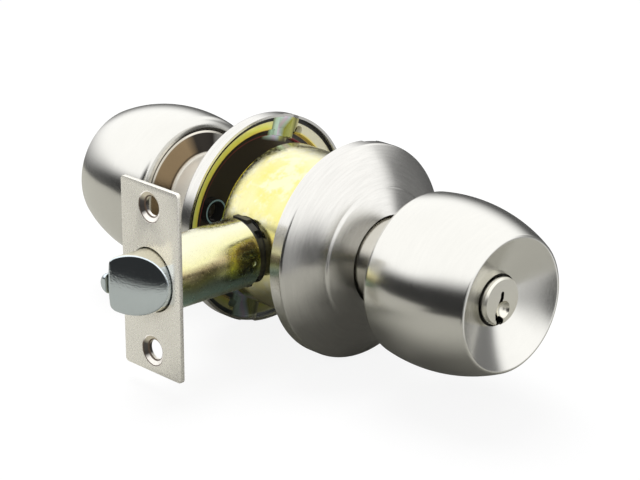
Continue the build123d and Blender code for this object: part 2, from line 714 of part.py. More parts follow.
def latch_tail():
    """Flat tail of the bolt with the head that the retractor's jaws pull."""
    half = STEM_THICKNESS / 2
    tail = slab((BOLT_REAR, HEAD_FRONT + HEAD_LENGTH), (-half, half), (-STEM_HEIGHT / 2, STEM_HEIGHT / 2))
    return tail + slab((HEAD_FRONT, HEAD_FRONT + HEAD_LENGTH), (-half, half), (-HEAD_HEIGHT / 2, HEAD_HEIGHT / 2))


def latch_spring():
    """Spring between the bolt and the end guide, around the tail."""
    return coil(LATCH_SPRING_RADIUS, LATCH_SPRING_WIRE, LATCH_SPRING_TURNS, BOLT_REAR, GUIDE_FRONT)


def deadlatch_plunger():
    """Half-round plunger that slides along the flat of the bolt, with a rounded tip."""
    bar = rod(PLUNGER_RADIUS, PLUNGER_TIP, PLUNGER_REAR, PLUNGER_FLAT)
    bar -= slab((PLUNGER_TIP - 1, PLUNGER_REAR + 1), (0, PLUNGER_FLAT), (-PLUNGER_RADIUS - 1, PLUNGER_RADIUS + 1))
    tip = bar.faces().sort_by(Axis.X)[0].edges().filter_by(GeomType.CIRCLE)
    return fillet(tip, PLUNGER_ROUND)


def plunger_spring():
    """Spring between the plunger and the end guide."""
    y = PLUNGER_FLAT + PLUNGER_RADIUS / 2
    return coil(
        PLUNGER_SPRING_RADIUS, PLUNGER_SPRING_WIRE, PLUNGER_SPRING_TURNS, PLUNGER_REAR, GUIDE_FRONT, y
    )


def assembly():
    """Returns every piece of the lock by name."""
    head_front = BODY_FRONT + SEAT_GAP
    return {
        "drum_shell": drum_shell(),
        "outside_hub_plate": outside(hub_plate(OUTSIDE_FACE)),
        "inside_hub_plate": hub_plate(INSIDE_FACE),
        "outside_rose": outside(rose(OUTSIDE_FACE, OUTSIDE_NOTCH_TURN)),
        "outside_rose_liner": outside(liner(OUTSIDE_FACE, False)),
        "inside_rose": rose(INSIDE_FACE, LINER_TURN),
        "inside_rose_liner": liner(INSIDE_FACE, True),
        "latch_faceplate": faceplate(),
        "latch_tube": latch_tube(),
        "latch_end_guide": end_guide(),
        "latch_spring": latch_spring(),
        "plunger_spring": plunger_spring(),
        "retractor_springs": retractor_springs(),
        "outside_knob_shell": outside(knob_shell(KEY_HOLE_RADIUS)),
        "outside_knob_neck": outside(neck(OUTSIDE_FACE)),
        "outside_knob_core": outside(knob_core(OUTSIDE_FACE)),
        "outside_spindle": outside(spindle()),
        "cylinder_body": outside(cylinder_body()),
        "cylinder_cap": outside(cylinder_cap()),
        "driver_pins": [outside(pin) for pin in driver_pins()],
        "pin_springs": [outside(spring) for spring in pin_springs()],
        "cylinder_plug": outside(cylinder_plug()),
        "key_pins": [outside(pin) for pin in key_pins()],
        "plug_clip": outside(plug_clip()),
        "tailpiece": outside(flat_bar(PLUG_REAR)),
        "inside_knob_shell": knob_shell(BUTTON_HOLE_RADIUS),
        "inside_knob_neck": neck(INSIDE_FACE),
        "inside_knob_core": knob_core(INSIDE_FACE),
        "inside_spindle": spindle(),
        "button_bush": button_bush(),
        "turn_button": turn_button(),
        "locking_bar": flat_bar(head_front - BUTTON_STEM),
        "retractor": retractor(),
        "latch_bolt": latch_bolt(),
        "latch_tail": latch_tail(),
        "deadlatch_plunger": deadlatch_plunger(),
    }


os.makedirs("parts", exist_ok=True)
for name, shape in assembly().items():
    solids = shape if isinstance(shape, list) else [shape]
    export_step(Compound(children=[s for piece in solids for s in piece.solids()]), f"parts/{name}.step")
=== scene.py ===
"""Looks of a cylindrical knob lock: brushed knobs and roses, yellow zinc drum and liners, nickel latch.

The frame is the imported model's, in metres: the spindle axis is Y with the keyed knob toward -Y, the latch
points toward -X and +Z is up. Sizes of the pieces are given in millimetres, as a maker reads them.
"""

import json
import logging
from abc import ABC, abstractmethod
from collections.abc import Callable
from dataclasses import dataclass, field
from enum import Enum
from math import acos, atan2, cos, hypot, pi, radians, sin, sqrt, tan

import bmesh
import bpy
from mathutils import Matrix, Vector


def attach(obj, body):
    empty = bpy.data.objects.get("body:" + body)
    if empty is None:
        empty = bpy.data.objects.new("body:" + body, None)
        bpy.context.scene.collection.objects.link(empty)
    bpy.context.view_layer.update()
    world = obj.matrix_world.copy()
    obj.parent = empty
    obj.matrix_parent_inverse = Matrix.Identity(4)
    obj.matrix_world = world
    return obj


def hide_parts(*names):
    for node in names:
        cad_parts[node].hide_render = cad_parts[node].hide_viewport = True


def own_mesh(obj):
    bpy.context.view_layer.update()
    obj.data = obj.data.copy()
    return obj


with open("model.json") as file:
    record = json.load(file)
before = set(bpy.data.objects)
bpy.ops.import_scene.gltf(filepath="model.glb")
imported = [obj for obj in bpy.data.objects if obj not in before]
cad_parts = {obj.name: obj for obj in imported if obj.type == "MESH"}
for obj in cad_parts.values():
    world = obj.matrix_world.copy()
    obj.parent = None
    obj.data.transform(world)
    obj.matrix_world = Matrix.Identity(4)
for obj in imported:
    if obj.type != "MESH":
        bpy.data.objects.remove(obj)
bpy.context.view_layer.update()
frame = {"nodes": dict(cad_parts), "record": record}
MM = 0.001
MERGE = 0.0005 * MM
SHARP = 32.0
LINE_DEPTH = 0.02 * MM
SPECK_DEPTH = 0.05 * MM
WHITE = (1.0, 1.0, 1.0, 1.0)
BACKSET = 60.0
SCREW_SPACING = 43.6

Point = tuple[float, float]
Triple = tuple[float, float, float]
Colour = tuple[float, float, float]
Stops = tuple[tuple[float, Colour], ...]
Socket = bpy.types.NodeSocket
Outputs = bpy.types.NodeOutputs
Material = bpy.types.Material
Piece = bpy.types.Object
log = logging.getLogger("knob_lock")


class Side(Enum):
    """The two sides of the door, by the sign of Y."""

    OUTSIDE = -1
    INSIDE = 1


ROSE_FACE = {Side.OUTSIDE: 20.0, Side.INSIDE: 16.0}
KNOB_HOLE = {Side.OUTSIDE: 7.65, Side.INSIDE: 6.7}
NOTCH_TURN = {Side.OUTSIDE: 12.0, Side.INSIDE: 17.0}


# Node trees

def rgba(colour: Colour) -> tuple[float, float, float, float]:
    """Adds a full alpha to a colour."""
    return (*colour, 1.0)


def scaled(colour: Colour, factor: float) -> Colour:
    """Makes a colour lighter or darker."""
    return tuple(channel * factor for channel in colour)


class Bench:
    """Places nodes in one tree and links them."""

    def __init__(self, tree: bpy.types.NodeTree) -> None:
        """Takes the tree to work on."""
        self.tree = tree

    def node(self, kind: str, inputs: dict | None = None, **settings: object) -> bpy.types.Node:
        """Adds a node.

        Args:
            kind: Blender's type name of the node.
            inputs: values or output sockets for its inputs, by name or index.
            **settings: properties of the node itself.

        Returns:
            The new node.
        """
        made = self.tree.nodes.new(kind)
        for name, value in settings.items():
            setattr(made, name, value)
        for key, value in (inputs or {}).items():
            self.feed(made.inputs[key], value)
        return made

    def feed(self, socket: Socket, value: object) -> None:
        """Links an output socket to an input, or sets the input's own value.

        Args:
            socket: the input.
            value: an output socket or a plain value.
        """
        if isinstance(value, Socket):
            self.tree.links.new(value, socket)
        else:
            socket.default_value = value

    def math(self, operation: str, *values: object) -> Socket:
        """Returns the result of a Math node on up to three values."""
        return self.node("ShaderNodeMath", dict(enumerate(values)), operation=operation).outputs[0]

    def times(self, first: object, second: object) -> Socket:
        """Returns the product of two values."""
        return self.math("MULTIPLY", first, second)

    def vector(self, operation: str, *values: object) -> Socket:
        """Returns the result of a Vector Math node: a number for a length or distance, else a vector."""
        made = self.node("ShaderNodeVectorMath", dict(enumerate(values)), operation=operation)
        return made.outputs["Value" if operation in ("LENGTH", "DISTANCE") else "Vector"]

    def resized(self, vector: object, factor: object) -> Socket:
        """Returns a vector times a factor."""
        return self.node("ShaderNodeVectorMath", {0: vector, "Scale": factor}, operation="SCALE").outputs[0]

    def axes(self, vector: Socket) -> Outputs:
        """Returns a vector's X, Y and Z."""
        return self.node("ShaderNodeSeparateXYZ", {0: vector}).outputs

    def joined(self, x: object, y: object, z: object) -> Socket:
        """Returns the vector of three values."""
        return self.node("ShaderNodeCombineXYZ", {0: x, 1: y, 2: z}).outputs[0]

    def radius(self, vector: Socket) -> Socket:
        """Returns the distance from the spindle axis."""
        return self.vector("LENGTH", self.vector("MULTIPLY", vector, (1.0, 0.0, 1.0)))

    def around(self, up: object, side: object) -> Socket:
        """Returns a direction as a share of a full turn, from nought to one."""
        return self.math("MULTIPLY_ADD", self.math("ARCTAN2", up, side), 0.5 / pi, 0.5)

    def noise(self, vector: object, scale: float, detail: float = 2.0, roughness: float = 0.5) -> Socket:
        """Returns the factor of a noise texture."""
        inputs = {"Vector": vector, "Scale": scale, "Detail": detail, "Roughness": roughness}
        return self.node("ShaderNodeTexNoise", inputs).outputs["Fac"]

    def span(self, value: object, low: object, high: object, to_low: float = 0.0, to_high: float = 1.0,
             smooth: bool = False) -> Socket:
        """Maps one range of values to another, clamped at both ends.

        Args:
            value: what is mapped.
            low: the value that becomes to_low.
            high: the value that becomes to_high; it may be the lesser of the two.
            to_low: result at low.
            to_high: result at high.
            smooth: whether both ends are eased.

        Returns:
            The mapped value.
        """
        inputs = {"Value": value, "From Min": low, "From Max": high, "To Min": to_low, "To Max": to_high}
        kind = "SMOOTHSTEP" if smooth else "LINEAR"
        return self.node("ShaderNodeMapRange", inputs, interpolation_type=kind).outputs["Result"]

    def edge(self, value: object, low: float, high: float) -> Socket:
        """Returns a mask that goes from nought to one between two places in millimetres."""
        return self.span(value, low * MM, high * MM)

    def band(self, value: object, rise: Point, fall: Point) -> Socket:
        """Returns a mask that rises between two places in millimetres and falls between two others."""
        return self.times(self.edge(value, *rise), self.edge(value, *fall))

    def mix(self, factor: object, first: object, second: object) -> Socket:
        """Mixes two colours.

        Args:
            factor: share of the second colour.
            first: a colour or its socket.
            second: a colour or its socket.

        Returns:
            The mixed colour.
        """
        made = self.node("ShaderNodeMix", data_type="RGBA")
        for index, value in ((0, factor), (6, first), (7, second)):
            self.feed(made.inputs[index], rgba(value) if isinstance(value, tuple) else value)
        return made.outputs[2]

    def ramp(self, factor: object, stops: Stops) -> Socket:
        """Adds a colour ramp.

        Args:
            factor: place on the ramp, from nought to one.
            stops: places and colours, in order.

        Returns:
            The ramp's colour.
        """
        made = self.node("ShaderNodeValToRGB", {"Fac": factor})
        elements = made.color_ramp.elements
        while len(elements) > 1:
            elements.remove(elements[-1])
        for index, (place, colour) in enumerate(stops):
            stop = elements[0] if index == 0 else elements.new(place)
            stop.position = place
            stop.color = rgba(colour)
        return made.outputs["Color"]


class Effect(Enum):
    """Shared surface effects, with the usual values of their inputs."""

    TURNED_GRAIN = {"Lines": 6000.0, "Breaks": 9.0}
    PLATE_GRAIN = {"Specks": 3000.0}
    ZINC_BLOOM = {"Patches": 110.0, "Drift": 35.0}


class Groups:
    """The shader node group of each shared effect, built once."""

    made: dict[str, bpy.types.NodeTree] = {}
    streak_stretch: Triple = (0.12, 0.12, 0.35)
    turned_clouds: float = 70.0
    plate_clouds: float = 90.0
    coarse_share: float = 0.3

    @classmethod
    def get(cls, effect: Effect) -> bpy.types.NodeTree:
        """Returns the group of an effect and builds it at the first call.

        Args:
            effect: the effect, which has a method of its name here.

        Returns:
            The group's tree.
        """
        name = effect.name.lower()
        if name in cls.made:
            return cls.made[name]
        tree = bpy.data.node_groups.new(name, "ShaderNodeTree")
        tree.interface.new_socket(name="Place", in_out="INPUT", socket_type="NodeSocketVector")
        for key, value in effect.value.items():
            socket = tree.interface.new_socket(name=key, in_out="INPUT", socket_type="NodeSocketFloat")
            socket.default_value = value
        bench = Bench(tree)
        masks = getattr(cls, name)(bench, bench.node("NodeGroupInput").outputs)
        for key in masks:
            tree.interface.new_socket(name=key, in_out="OUTPUT", socket_type="NodeSocketFloat")
        bench.node("NodeGroupOutput", masks)
        cls.made[name] = tree
        return tree

    @classmethod
    def turned_grain(cls, bench: Bench, given: Outputs) -> dict[str, Socket]:
        """Fine lines that run around the Y axis, as a belt leaves them on a spun piece.

        Args:
            bench: bench of the group's tree.
            given: the group's inputs.

        Returns:
            Masks of fine lines, wider streaks and soft clouds.
        """
        place, lines = given["Place"], given["Lines"]
        axes = bench.axes(place)
        turn = bench.math("ARCTAN2", axes[2], axes[0])
        fine = bench.joined(bench.times(bench.radius(place), lines), bench.times(axes[1], lines),
                            bench.times(turn, given["Breaks"]))
        wide = bench.vector("MULTIPLY", fine, cls.streak_stretch)
        return {"Line": bench.noise(fine, 1.0, 2.0, 0.6), "Streak": bench.noise(wide, 1.0, 3.0, 0.6),
                "Cloud": bench.noise(place, cls.turned_clouds)}

    @classmethod
    def plate_grain(cls, bench: Bench, given: Outputs) -> dict[str, Socket]:
        """Even fine specks and soft clouds, as on tumbled, cast and plated pieces.

        Args:
            bench: bench of the group's tree.
            given: the group's inputs.

        Returns:
            Masks of fine specks, coarser ones and soft clouds.
        """
        fine = bench.resized(given["Place"], given["Specks"])
        coarse = bench.resized(fine, cls.coarse_share)
        return {"Speck": bench.noise(fine, 1.0, 2.0, 0.6), "Coarse": bench.noise(coarse, 1.0, 3.0, 0.6),
                "Cloud": bench.noise(given["Place"], cls.plate_clouds)}

    @classmethod
    def zinc_bloom(cls, bench: Bench, given: Outputs) -> dict[str, Socket]:
        """Drifting tints of a yellow passivated zinc film.

        Args:
            bench: bench of the group's tree.
            given: the group's inputs.

        Returns:
            Two soft masks, of small patches and of a wide drift.
        """
        small, large = (bench.resized(given["Place"], given[key]) for key in ("Patches", "Drift"))
        return {"Patch": bench.noise(small, 1.0, 5.0, 0.62), "Tint": bench.noise(large, 1.0)}


def bare_material(name: str) -> Material:
    """Makes a material with an empty node tree.

    Args:
        name: the material's name.

    Returns:
        The material.
    """
    material = bpy.data.materials.new(name)
    material.use_nodes = True
    material.node_tree.nodes.clear()
    return material


class Coat(Bench):
    """Bench of one material, with its Principled shader and the piece's own coordinates."""

    def __init__(self, name: str) -> None:
        """Starts a material.

        Args:
            name: the finish's name.
        """
        self.material = bare_material(name)
        super().__init__(self.material.node_tree)
        self.shader = self.node("ShaderNodeBsdfPrincipled")
        self.node("ShaderNodeOutputMaterial", {"Surface": self.shader.outputs[0]})
        self.place = self.node("ShaderNodeTexCoord").outputs["Object"]

    def effect(self, kind: Effect, **values: float) -> Outputs:
        """Puts a shared group into the material with its own values and returns its outputs."""
        inputs = {"Place": self.place, **values}
        return self.node("ShaderNodeGroup", inputs, node_tree=Groups.get(kind)).outputs

    def bump(self, height: Socket, strength: float, depth: float) -> Socket:
        """Returns the normal of a height."""
        inputs = {"Height": height, "Strength": strength, "Distance": depth}
        return self.node("ShaderNodeBump", inputs).outputs[0]

    def finish(self, inputs: dict[str, object]) -> Material:
        """Feeds the shader.

        Args:
            inputs: values or sockets by the shader's input names.

        Returns:
            The finished material.
        """
        for key, value in inputs.items():
            self.feed(self.shader.inputs[key], value)
        return self.material


# Finishes

@dataclass(frozen=True)
class Finish(ABC):
    """A finish by its name; each kind builds its own material."""

    name: str

    @abstractmethod
    def build(self) -> Material:
        """Returns the material."""


@dataclass(frozen=True)
class BrushedSteel(Finish):
    """Stainless sheet brushed around the spindle axis, with a painted shade line at a knob's rolled lip."""

    tone: Colour = (0.72, 0.712, 0.675)
    roughness: float = 0.19
    anisotropy: float = 0.5
    lines: float = 9000.0
    line_height: float = 0.10
    streak_share: float = 0.015
    lip_radius: Point = (21.5, 21.1)
    lip_rise: Point = (47.0, 48.0)
    lip_fall: Point = (49.3, 49.0)
    lip_tone: Colour = (0.05, 0.048, 0.042)

    def build(self) -> Material:
        """Returns the material: streaked tone and roughness, fine turned bump, stretched gloss."""
        coat = Coat(self.name)
        grain = coat.effect(Effect.TURNED_GRAIN, Lines=self.lines)
        dull, bright = scaled(self.tone, 1 - self.streak_share), scaled(self.tone, 1 + self.streak_share / 2)
        tone = coat.mix(coat.span(grain["Streak"], 0.3, 0.7), dull, bright)
        tone = coat.mix(coat.span(grain["Cloud"], 0.35, 0.65, 0.0, 0.12), tone, scaled(self.tone, 0.85))
        # Painted shade: a dark line on the rolled lip at the knob's mouth.
        along = coat.math("ABSOLUTE", coat.axes(coat.place)[1])
        inner = coat.edge(coat.radius(coat.place), *self.lip_radius)
        lip = coat.times(inner, coat.band(along, self.lip_rise, self.lip_fall))
        tone = coat.mix(lip, tone, self.lip_tone)
        tangent = coat.node("ShaderNodeTangent", direction_type="RADIAL", axis="Y")
        return coat.finish({
            "Base Color": tone, "Metallic": 1.0, "Anisotropic": self.anisotropy, "Anisotropic Rotation": 0.25,
            "Roughness": coat.span(grain["Line"], 0.25, 0.75, self.roughness - 0.04, self.roughness + 0.05),
            "Normal": coat.bump(grain["Line"], self.line_height, LINE_DEPTH), "Tangent": tangent.outputs[0]})


@dataclass(frozen=True)
class NeckWithPaintedReflection(Finish):
    """Polished neck; the inside one's flared back cover has a brown tint and a darker sweep around it, both
    painted reflection and shade, with a painted highlight band and painted shade lines at brim and seam; the
    outside one's flare is painted darker.
    """

    tone: Colour = (0.66, 0.64, 0.585)
    tube: Colour = (0.74, 0.70, 0.62)
    # Brown and dark are painted reflection and shade on the inside flare.
    brown: Colour = (0.27, 0.195, 0.115)
    dark: Colour = (0.03, 0.026, 0.022)
    flare: Point = (13.65, 14.15)
    brim: Point = (20.1, 20.2)
    brim_light: Point = (19.45, 19.65)
    seam_rise: Point = (14.1, 14.2)
    seam_fall: Point = (14.7, 14.2)
    near_share: float = 0.6
    tube_metal: float = 0.35
    roughness: float = 0.21
    lines: float = 7000.0
    line_height: float = 0.015

    def build(self) -> Material:
        """Returns the material: plain on the tube, painted brown reflection and shade on the inside flare,
        painted shade on the outside flare, with turned lines.
        """
        coat = Coat(self.name)
        grain = coat.effect(Effect.TURNED_GRAIN, Lines=self.lines)
        radius = coat.radius(coat.place)
        axes = coat.axes(coat.place)
        # Painted reflection and shade: brown, plain and dark by direction around the inside flare.
        far = coat.ramp(coat.around(axes[2], axes[0]), (
            (0.0, self.brown), (0.50, self.brown), (0.60, self.tone), (0.66, self.tone), (0.70, self.dark),
            (0.765, self.dark), (0.80, self.brown), (1.0, self.brown)))
        # Painted highlight band below the brim, painted shade at the brim's edge and along the seam with the
        # tube.
        far = coat.mix(coat.edge(radius, *self.brim_light), far, self.tube)
        far = coat.mix(coat.edge(radius, *self.brim), far, self.dark)
        far = coat.mix(coat.band(radius, self.seam_rise, self.seam_fall), far, self.dark)
        first, last = (place * MM for place in self.flare)
        flared = coat.span(radius, first, last, smooth=True)
        far = coat.mix(flared, self.tube, far)
        # Painted shade: the outside flare is darker than its tube.
        near = coat.mix(flared, self.tone, scaled(self.tone, self.near_share))
        inside = coat.math("GREATER_THAN", axes[1], 0.0)
        bare = coat.times(inside, coat.math("SUBTRACT", 1.0, flared))
        return coat.finish({
            "Base Color": coat.mix(inside, near, far),
            "Metallic": coat.span(bare, 0.0, 1.0, 1.0, self.tube_metal),
            "Roughness": coat.span(grain["Line"], 0.25, 0.75, self.roughness - 0.04, self.roughness + 0.05),
            "Normal": coat.bump(grain["Line"], self.line_height, LINE_DEPTH)})


@dataclass(frozen=True)
class PressedNickel(Finish):
    """Walls of the pressed screw holes: painted shade on one side, painted highlight on the other."""

    backset: float = BACKSET
    spacing: float = SCREW_SPACING
    corner_rise: Point = (0.9, 1.0)
    corner_fall: Point = (1.4, 1.3)
    brink: Point = (0.27, 0.22)
    # Painted shade, shade line, highlight, straw and plain wall tones.
    dark: Colour = (0.05, 0.045, 0.04)
    line: Colour = (0.09, 0.06, 0.04)
    bright: Colour = (0.98, 0.94, 0.88)
    straw: Colour = (0.50, 0.45, 0.34)
    plain: Colour = (0.62, 0.59, 0.52)
    metallic: float = 0.25
    roughness: float = 0.3

    def build(self) -> Material:
        """Returns the material: painted shade and highlight by direction from each hole's middle, a painted
        shade line where cone meets bore.
        """
        coat = Coat(self.name)
        axes = coat.axes(coat.place)
        middle = coat.times(coat.math("SIGN", axes[2]), self.spacing / 2 * MM)
        share = coat.around(coat.math("SUBTRACT", axes[2], middle), axes[1])
        # Painted highlight and painted shade on the cone wall by direction.
        wall = coat.ramp(share, (
            (0.0, self.plain), (0.12, self.bright), (0.36, self.bright), (0.41, self.dark), (0.54, self.dark),
            (0.62, self.straw), (0.84, self.straw), (1.0, self.plain)))
        # Painted highlight and painted shade line along the hole's rim by direction.
        rim = coat.ramp(share, (
            (0.0, self.bright), (0.10, self.line), (0.55, self.line), (0.62, self.bright),
            (1.0, self.bright)))
        depth = coat.math("ADD", axes[0], self.backset * MM)
        # Painted shade line in the corner where cone meets bore.
        tone = coat.mix(coat.band(depth, self.corner_rise, self.corner_fall), wall, self.line)
        tone = coat.mix(coat.edge(depth, *self.brink), tone, rim)
        return coat.finish({"Base Color": tone, "Metallic": self.metallic, "Roughness": self.roughness})


@dataclass(frozen=True)
class GrainedMetal(Finish):
    """Plated, cast or tumbled metal with an even grain."""

    tone: Colour
    roughness: float = 0.3
    spread: float = 0.08
    specks: float = 3000.0
    speck_height: float = 0.15
    speck_share: float = 0.12
    metallic: float = 1.0

    def build(self) -> Material:
        """Returns the material: speckled tone, uneven roughness and a fine bump."""
        coat = Coat(self.name)
        grain = coat.effect(Effect.PLATE_GRAIN, Specks=self.specks)
        dull = scaled(self.tone, 1 - self.speck_share)
        tone = coat.mix(coat.span(grain["Speck"], 0.35, 0.65), dull, self.tone)
        tone = coat.mix(coat.span(grain["Cloud"], 0.4, 0.7, 0.0, 0.25), tone, scaled(self.tone, 0.82))
        low, high = self.roughness - self.spread, self.roughness + self.spread
        return coat.finish({
            "Base Color": tone, "Metallic": self.metallic,
            "Roughness": coat.span(grain["Coarse"], 0.3, 0.7, low, high),
            "Normal": coat.bump(grain["Speck"], self.speck_height, SPECK_DEPTH)})


@dataclass(frozen=True)
class YellowZinc(Finish):
    """Zinc plating under a yellow passivation film whose tint drifts over the piece; around a tube the film's
    tints are set from bottom to top as painted reflection and shade.
    """

    stops: Stops
    pale: Colour = (0.93, 0.90, 0.62)
    patch_share: float = 0.5
    patches: float = 110.0
    drift: float = 35.0
    roughness: float = 0.3
    specks: float = 3500.0
    speck_height: float = 0.12
    dust: float = 0.35
    dust_tone: Colour = (0.25, 0.24, 0.12)
    # Share of the tint set by the angle around a tube from bottom to top, a painted reflection and shade.
    around: float = 0.0

    def build(self) -> Material:
        """Returns the material: drifting film tints, or on a tube film tints set by angle as painted
        reflection and shade, paler patches, fine plated grain.
        """
        coat = Coat(self.name)
        bloom = coat.effect(Effect.ZINC_BLOOM, Patches=self.patches, Drift=self.drift)
        grain = coat.effect(Effect.PLATE_GRAIN, Specks=self.specks)
        drift = coat.span(bloom["Tint"], 0.3, 0.7)
        # Painted reflection and shade: the film's tints follow the angle around the tube from bottom to top.
        if self.around > 0:
            axes = coat.axes(coat.place)
            turn = coat.math("ARCTAN2", axes[2], coat.times(axes[1], -1.0))
            level = coat.span(turn, -pi / 2, pi / 2)
            drift = coat.math("ADD", coat.times(drift, 1 - self.around), coat.times(level, self.around))
        patch = coat.span(bloom["Patch"], 0.45, 0.62, 0.0, self.patch_share, smooth=True)
        tone = coat.mix(patch, coat.ramp(drift, self.stops), self.pale)
        tone = coat.mix(coat.span(grain["Speck"], 0.52, 0.72, 0.0, self.dust), tone, self.dust_tone)
        return coat.finish({
            "Base Color": tone, "Metallic": 1.0,
            "Roughness": coat.span(grain["Coarse"], 0.3, 0.7, self.roughness - 0.08, self.roughness + 0.1),
            "Normal": coat.bump(grain["Speck"], self.speck_height, SPECK_DEPTH)})


@dataclass(frozen=True)
class LinerZinc(Finish):
    """Zinc liner: gold flange, near-black dished floor as painted dark reflection behind a red edge, teal
    bosses painted black as shade with a thin teal painted rim highlight, rainbow troughs, a painted shadow
    ring, painted shade toward the bottom and a faint painted glow.
    """

    # Floor is a painted dark reflection; black and the low shade tone are painted shade.
    floor: Colour = (0.06, 0.05, 0.034)
    red: Colour = (0.36, 0.07, 0.07)
    teal: Colour = (0.34, 0.50, 0.49)
    pale: Colour = (0.84, 0.81, 0.62)
    black: Colour = (0.02, 0.02, 0.018)
    low_tone: Colour = (0.02, 0.026, 0.026)
    gold: Stops = ((27.0, (0.62, 0.42, 0.09)), (27.6, (1.0, 0.80, 0.14)), (28.5, (0.94, 0.96, 0.16)),
                   (29.8, (1.0, 0.94, 0.36)), (31.0, (0.72, 0.72, 0.30)))
    rainbow: Stops = (
        (0.0, (0.20, 0.24, 0.10)), (0.10, (0.60, 0.80, 0.62)), (0.30, (0.72, 0.94, 0.90)),
        (0.48, (0.90, 0.74, 0.95)), (0.62, (0.70, 0.86, 0.92)), (0.74, (0.62, 0.62, 0.18)),
        (0.9, (0.20, 0.20, 0.06)), (1.0, (0.70, 0.66, 0.36)))
    core: float = 24.4
    edge: float = 31.0
    wave: float = 0.5
    flange: Point = (27.6, 28.2)
    flange_pale: Point = (1.0, 9.0)
    shade_shift: Triple = (0.95, 0.0, -0.5)
    shade_edge: Point = (30.3, 30.5)
    turn: float = 17.0
    facet: float = 5.2
    facet_fall: Point = (5.35, 5.15)
    trough: Point = (23.0, 24.5)
    boss_circle: float = 19.8
    boss: Point = (4.15, 4.05)
    boss_rise: Point = (3.3, 3.45)
    boss_fall: Point = (3.9, 3.8)
    # Painted shade toward the bottom: its span along Z and its share.
    low: Point = (-4.0, -16.0)
    low_share: float = 0.8
    # Strength of a painted glow that stands for light bounced inside the rose.
    lift: float = 0.12
    patches: float = 90.0
    drift: float = 60.0
    specks: float = 4000.0
    speck_height: float = 0.05
    metallic: float = 0.3
    roughness: Point = (0.14, 0.26)

    def rings(self) -> Stops:
        """Returns the tints by radius, from the dished floor in painted dark reflection and the ledge in
        painted black shade to the gold flange, as shares of the reach.
        """
        rings = ((24.4, self.floor), (24.9, self.floor), (25.1, self.red), (25.35, self.red),
                 (25.6, self.floor), (26.7, self.black), *self.gold)
        return tuple(((ring - self.core) / (self.edge - self.core), colour) for ring, colour in rings)

    def build(self) -> Material:
        """Returns the material: tints by place on the pressing with painted shade, shadow, highlight and
        glow, drifting film, fine grain.
        """
        coat = Coat(self.name)
        bloom = coat.effect(Effect.ZINC_BLOOM, Patches=self.patches, Drift=self.drift)
        grain = coat.effect(Effect.PLATE_GRAIN, Specks=self.specks)
        upright = coat.node("ShaderNodeVectorRotate", {"Vector": coat.place, "Angle": radians(self.turn)},
                            rotation_type="Y_AXIS", invert=True).outputs[0]
        axes, sides = coat.axes(upright), coat.axes(coat.place)
        across, along = coat.math("ABSOLUTE", axes[0]), coat.math("ABSOLUTE", axes[2])
        radius = coat.radius(upright)
        inner = coat.math("SUBTRACT", radius, self.wave / 2 * MM)
        wave = coat.math("MULTIPLY_ADD", bloom["Patch"], self.wave * MM, inner)
        tone = coat.ramp(coat.edge(wave, self.core, self.edge), self.rings())
        flange = coat.times(coat.edge(radius, *self.flange), coat.edge(sides[0], *self.flange_pale))
        tone = coat.mix(flange, tone, self.pale)
        # Painted shadow: a black ring inside the rose's rim, off centre.
        level = coat.vector("MULTIPLY", coat.place, (1.0, 0.0, 1.0))
        shaded = coat.vector("DISTANCE", level, scaled(self.shade_shift, MM))
        tone = coat.mix(coat.edge(shaded, *self.shade_edge), tone, self.black)
        spread = coat.ramp(coat.edge(axes[0], -self.facet, self.facet), self.rainbow)
        groove = coat.times(coat.edge(across, *self.facet_fall), coat.edge(along, *self.trough))
        tone = coat.mix(groove, tone, spread)
        away = coat.vector("DISTANCE", coat.joined(across, axes[2], 0.0), (self.boss_circle * MM, 0.0, 0.0))
        # Painted shade on each boss and a thin teal painted rim highlight.
        tone = coat.mix(coat.edge(away, *self.boss), tone, self.black)
        tone = coat.mix(coat.band(away, self.boss_rise, self.boss_fall), tone, self.teal)
        # Painted shade toward the bottom.
        first, last = (place * MM for place in self.low)
        tone = coat.mix(coat.span(sides[2], first, last, 0.0, self.low_share), tone, self.low_tone)
        # The emission is a painted glow that stands for light bounced inside the rose.
        return coat.finish({
            "Base Color": tone, "Metallic": self.metallic,
            "Roughness": coat.span(grain["Coarse"], 0.3, 0.7, *self.roughness),
            "Normal": coat.bump(grain["Speck"], self.speck_height, SPECK_DEPTH),
            "Emission Color": tone, "Emission Strength": self.lift})


@dataclass(frozen=True)
class MouldedPlastic(Finish):
    """Moulded black plastic with a slightly uneven skin."""

    tone: Colour = (0.012, 0.012, 0.012)
    roughness: float = 0.38
    specks: float = 2200.0
    skin_height: float = 0.12

    def build(self) -> Material:
        """Returns the material: near black, soft gloss, faint moulding texture."""
        coat = Coat(self.name)
        grain = coat.effect(Effect.PLATE_GRAIN, Specks=self.specks)
        return coat.finish({
            "Base Color": coat.mix(coat.span(grain["Cloud"], 0.35, 0.7), self.tone, scaled(self.tone, 2.0)),
            "Roughness": coat.span(grain["Coarse"], 0.3, 0.7, self.roughness - 0.08, self.roughness + 0.1),
            "Normal": coat.bump(grain["Coarse"], self.skin_height, SPECK_DEPTH)})


GOLD = (0.90, 0.74, 0.26)
PALE_YELLOW = (0.95, 0.89, 0.45)
GREEN = (0.58, 0.66, 0.28)
TEAL = (0.38, 0.58, 0.55)
ROSE_PINK = (0.72, 0.46, 0.50)


def built(finish: Finish) -> Material:
    """Makes a dataclass field of a finish, which builds its material when the field is first filled."""
    return field(default_factory=finish.build)


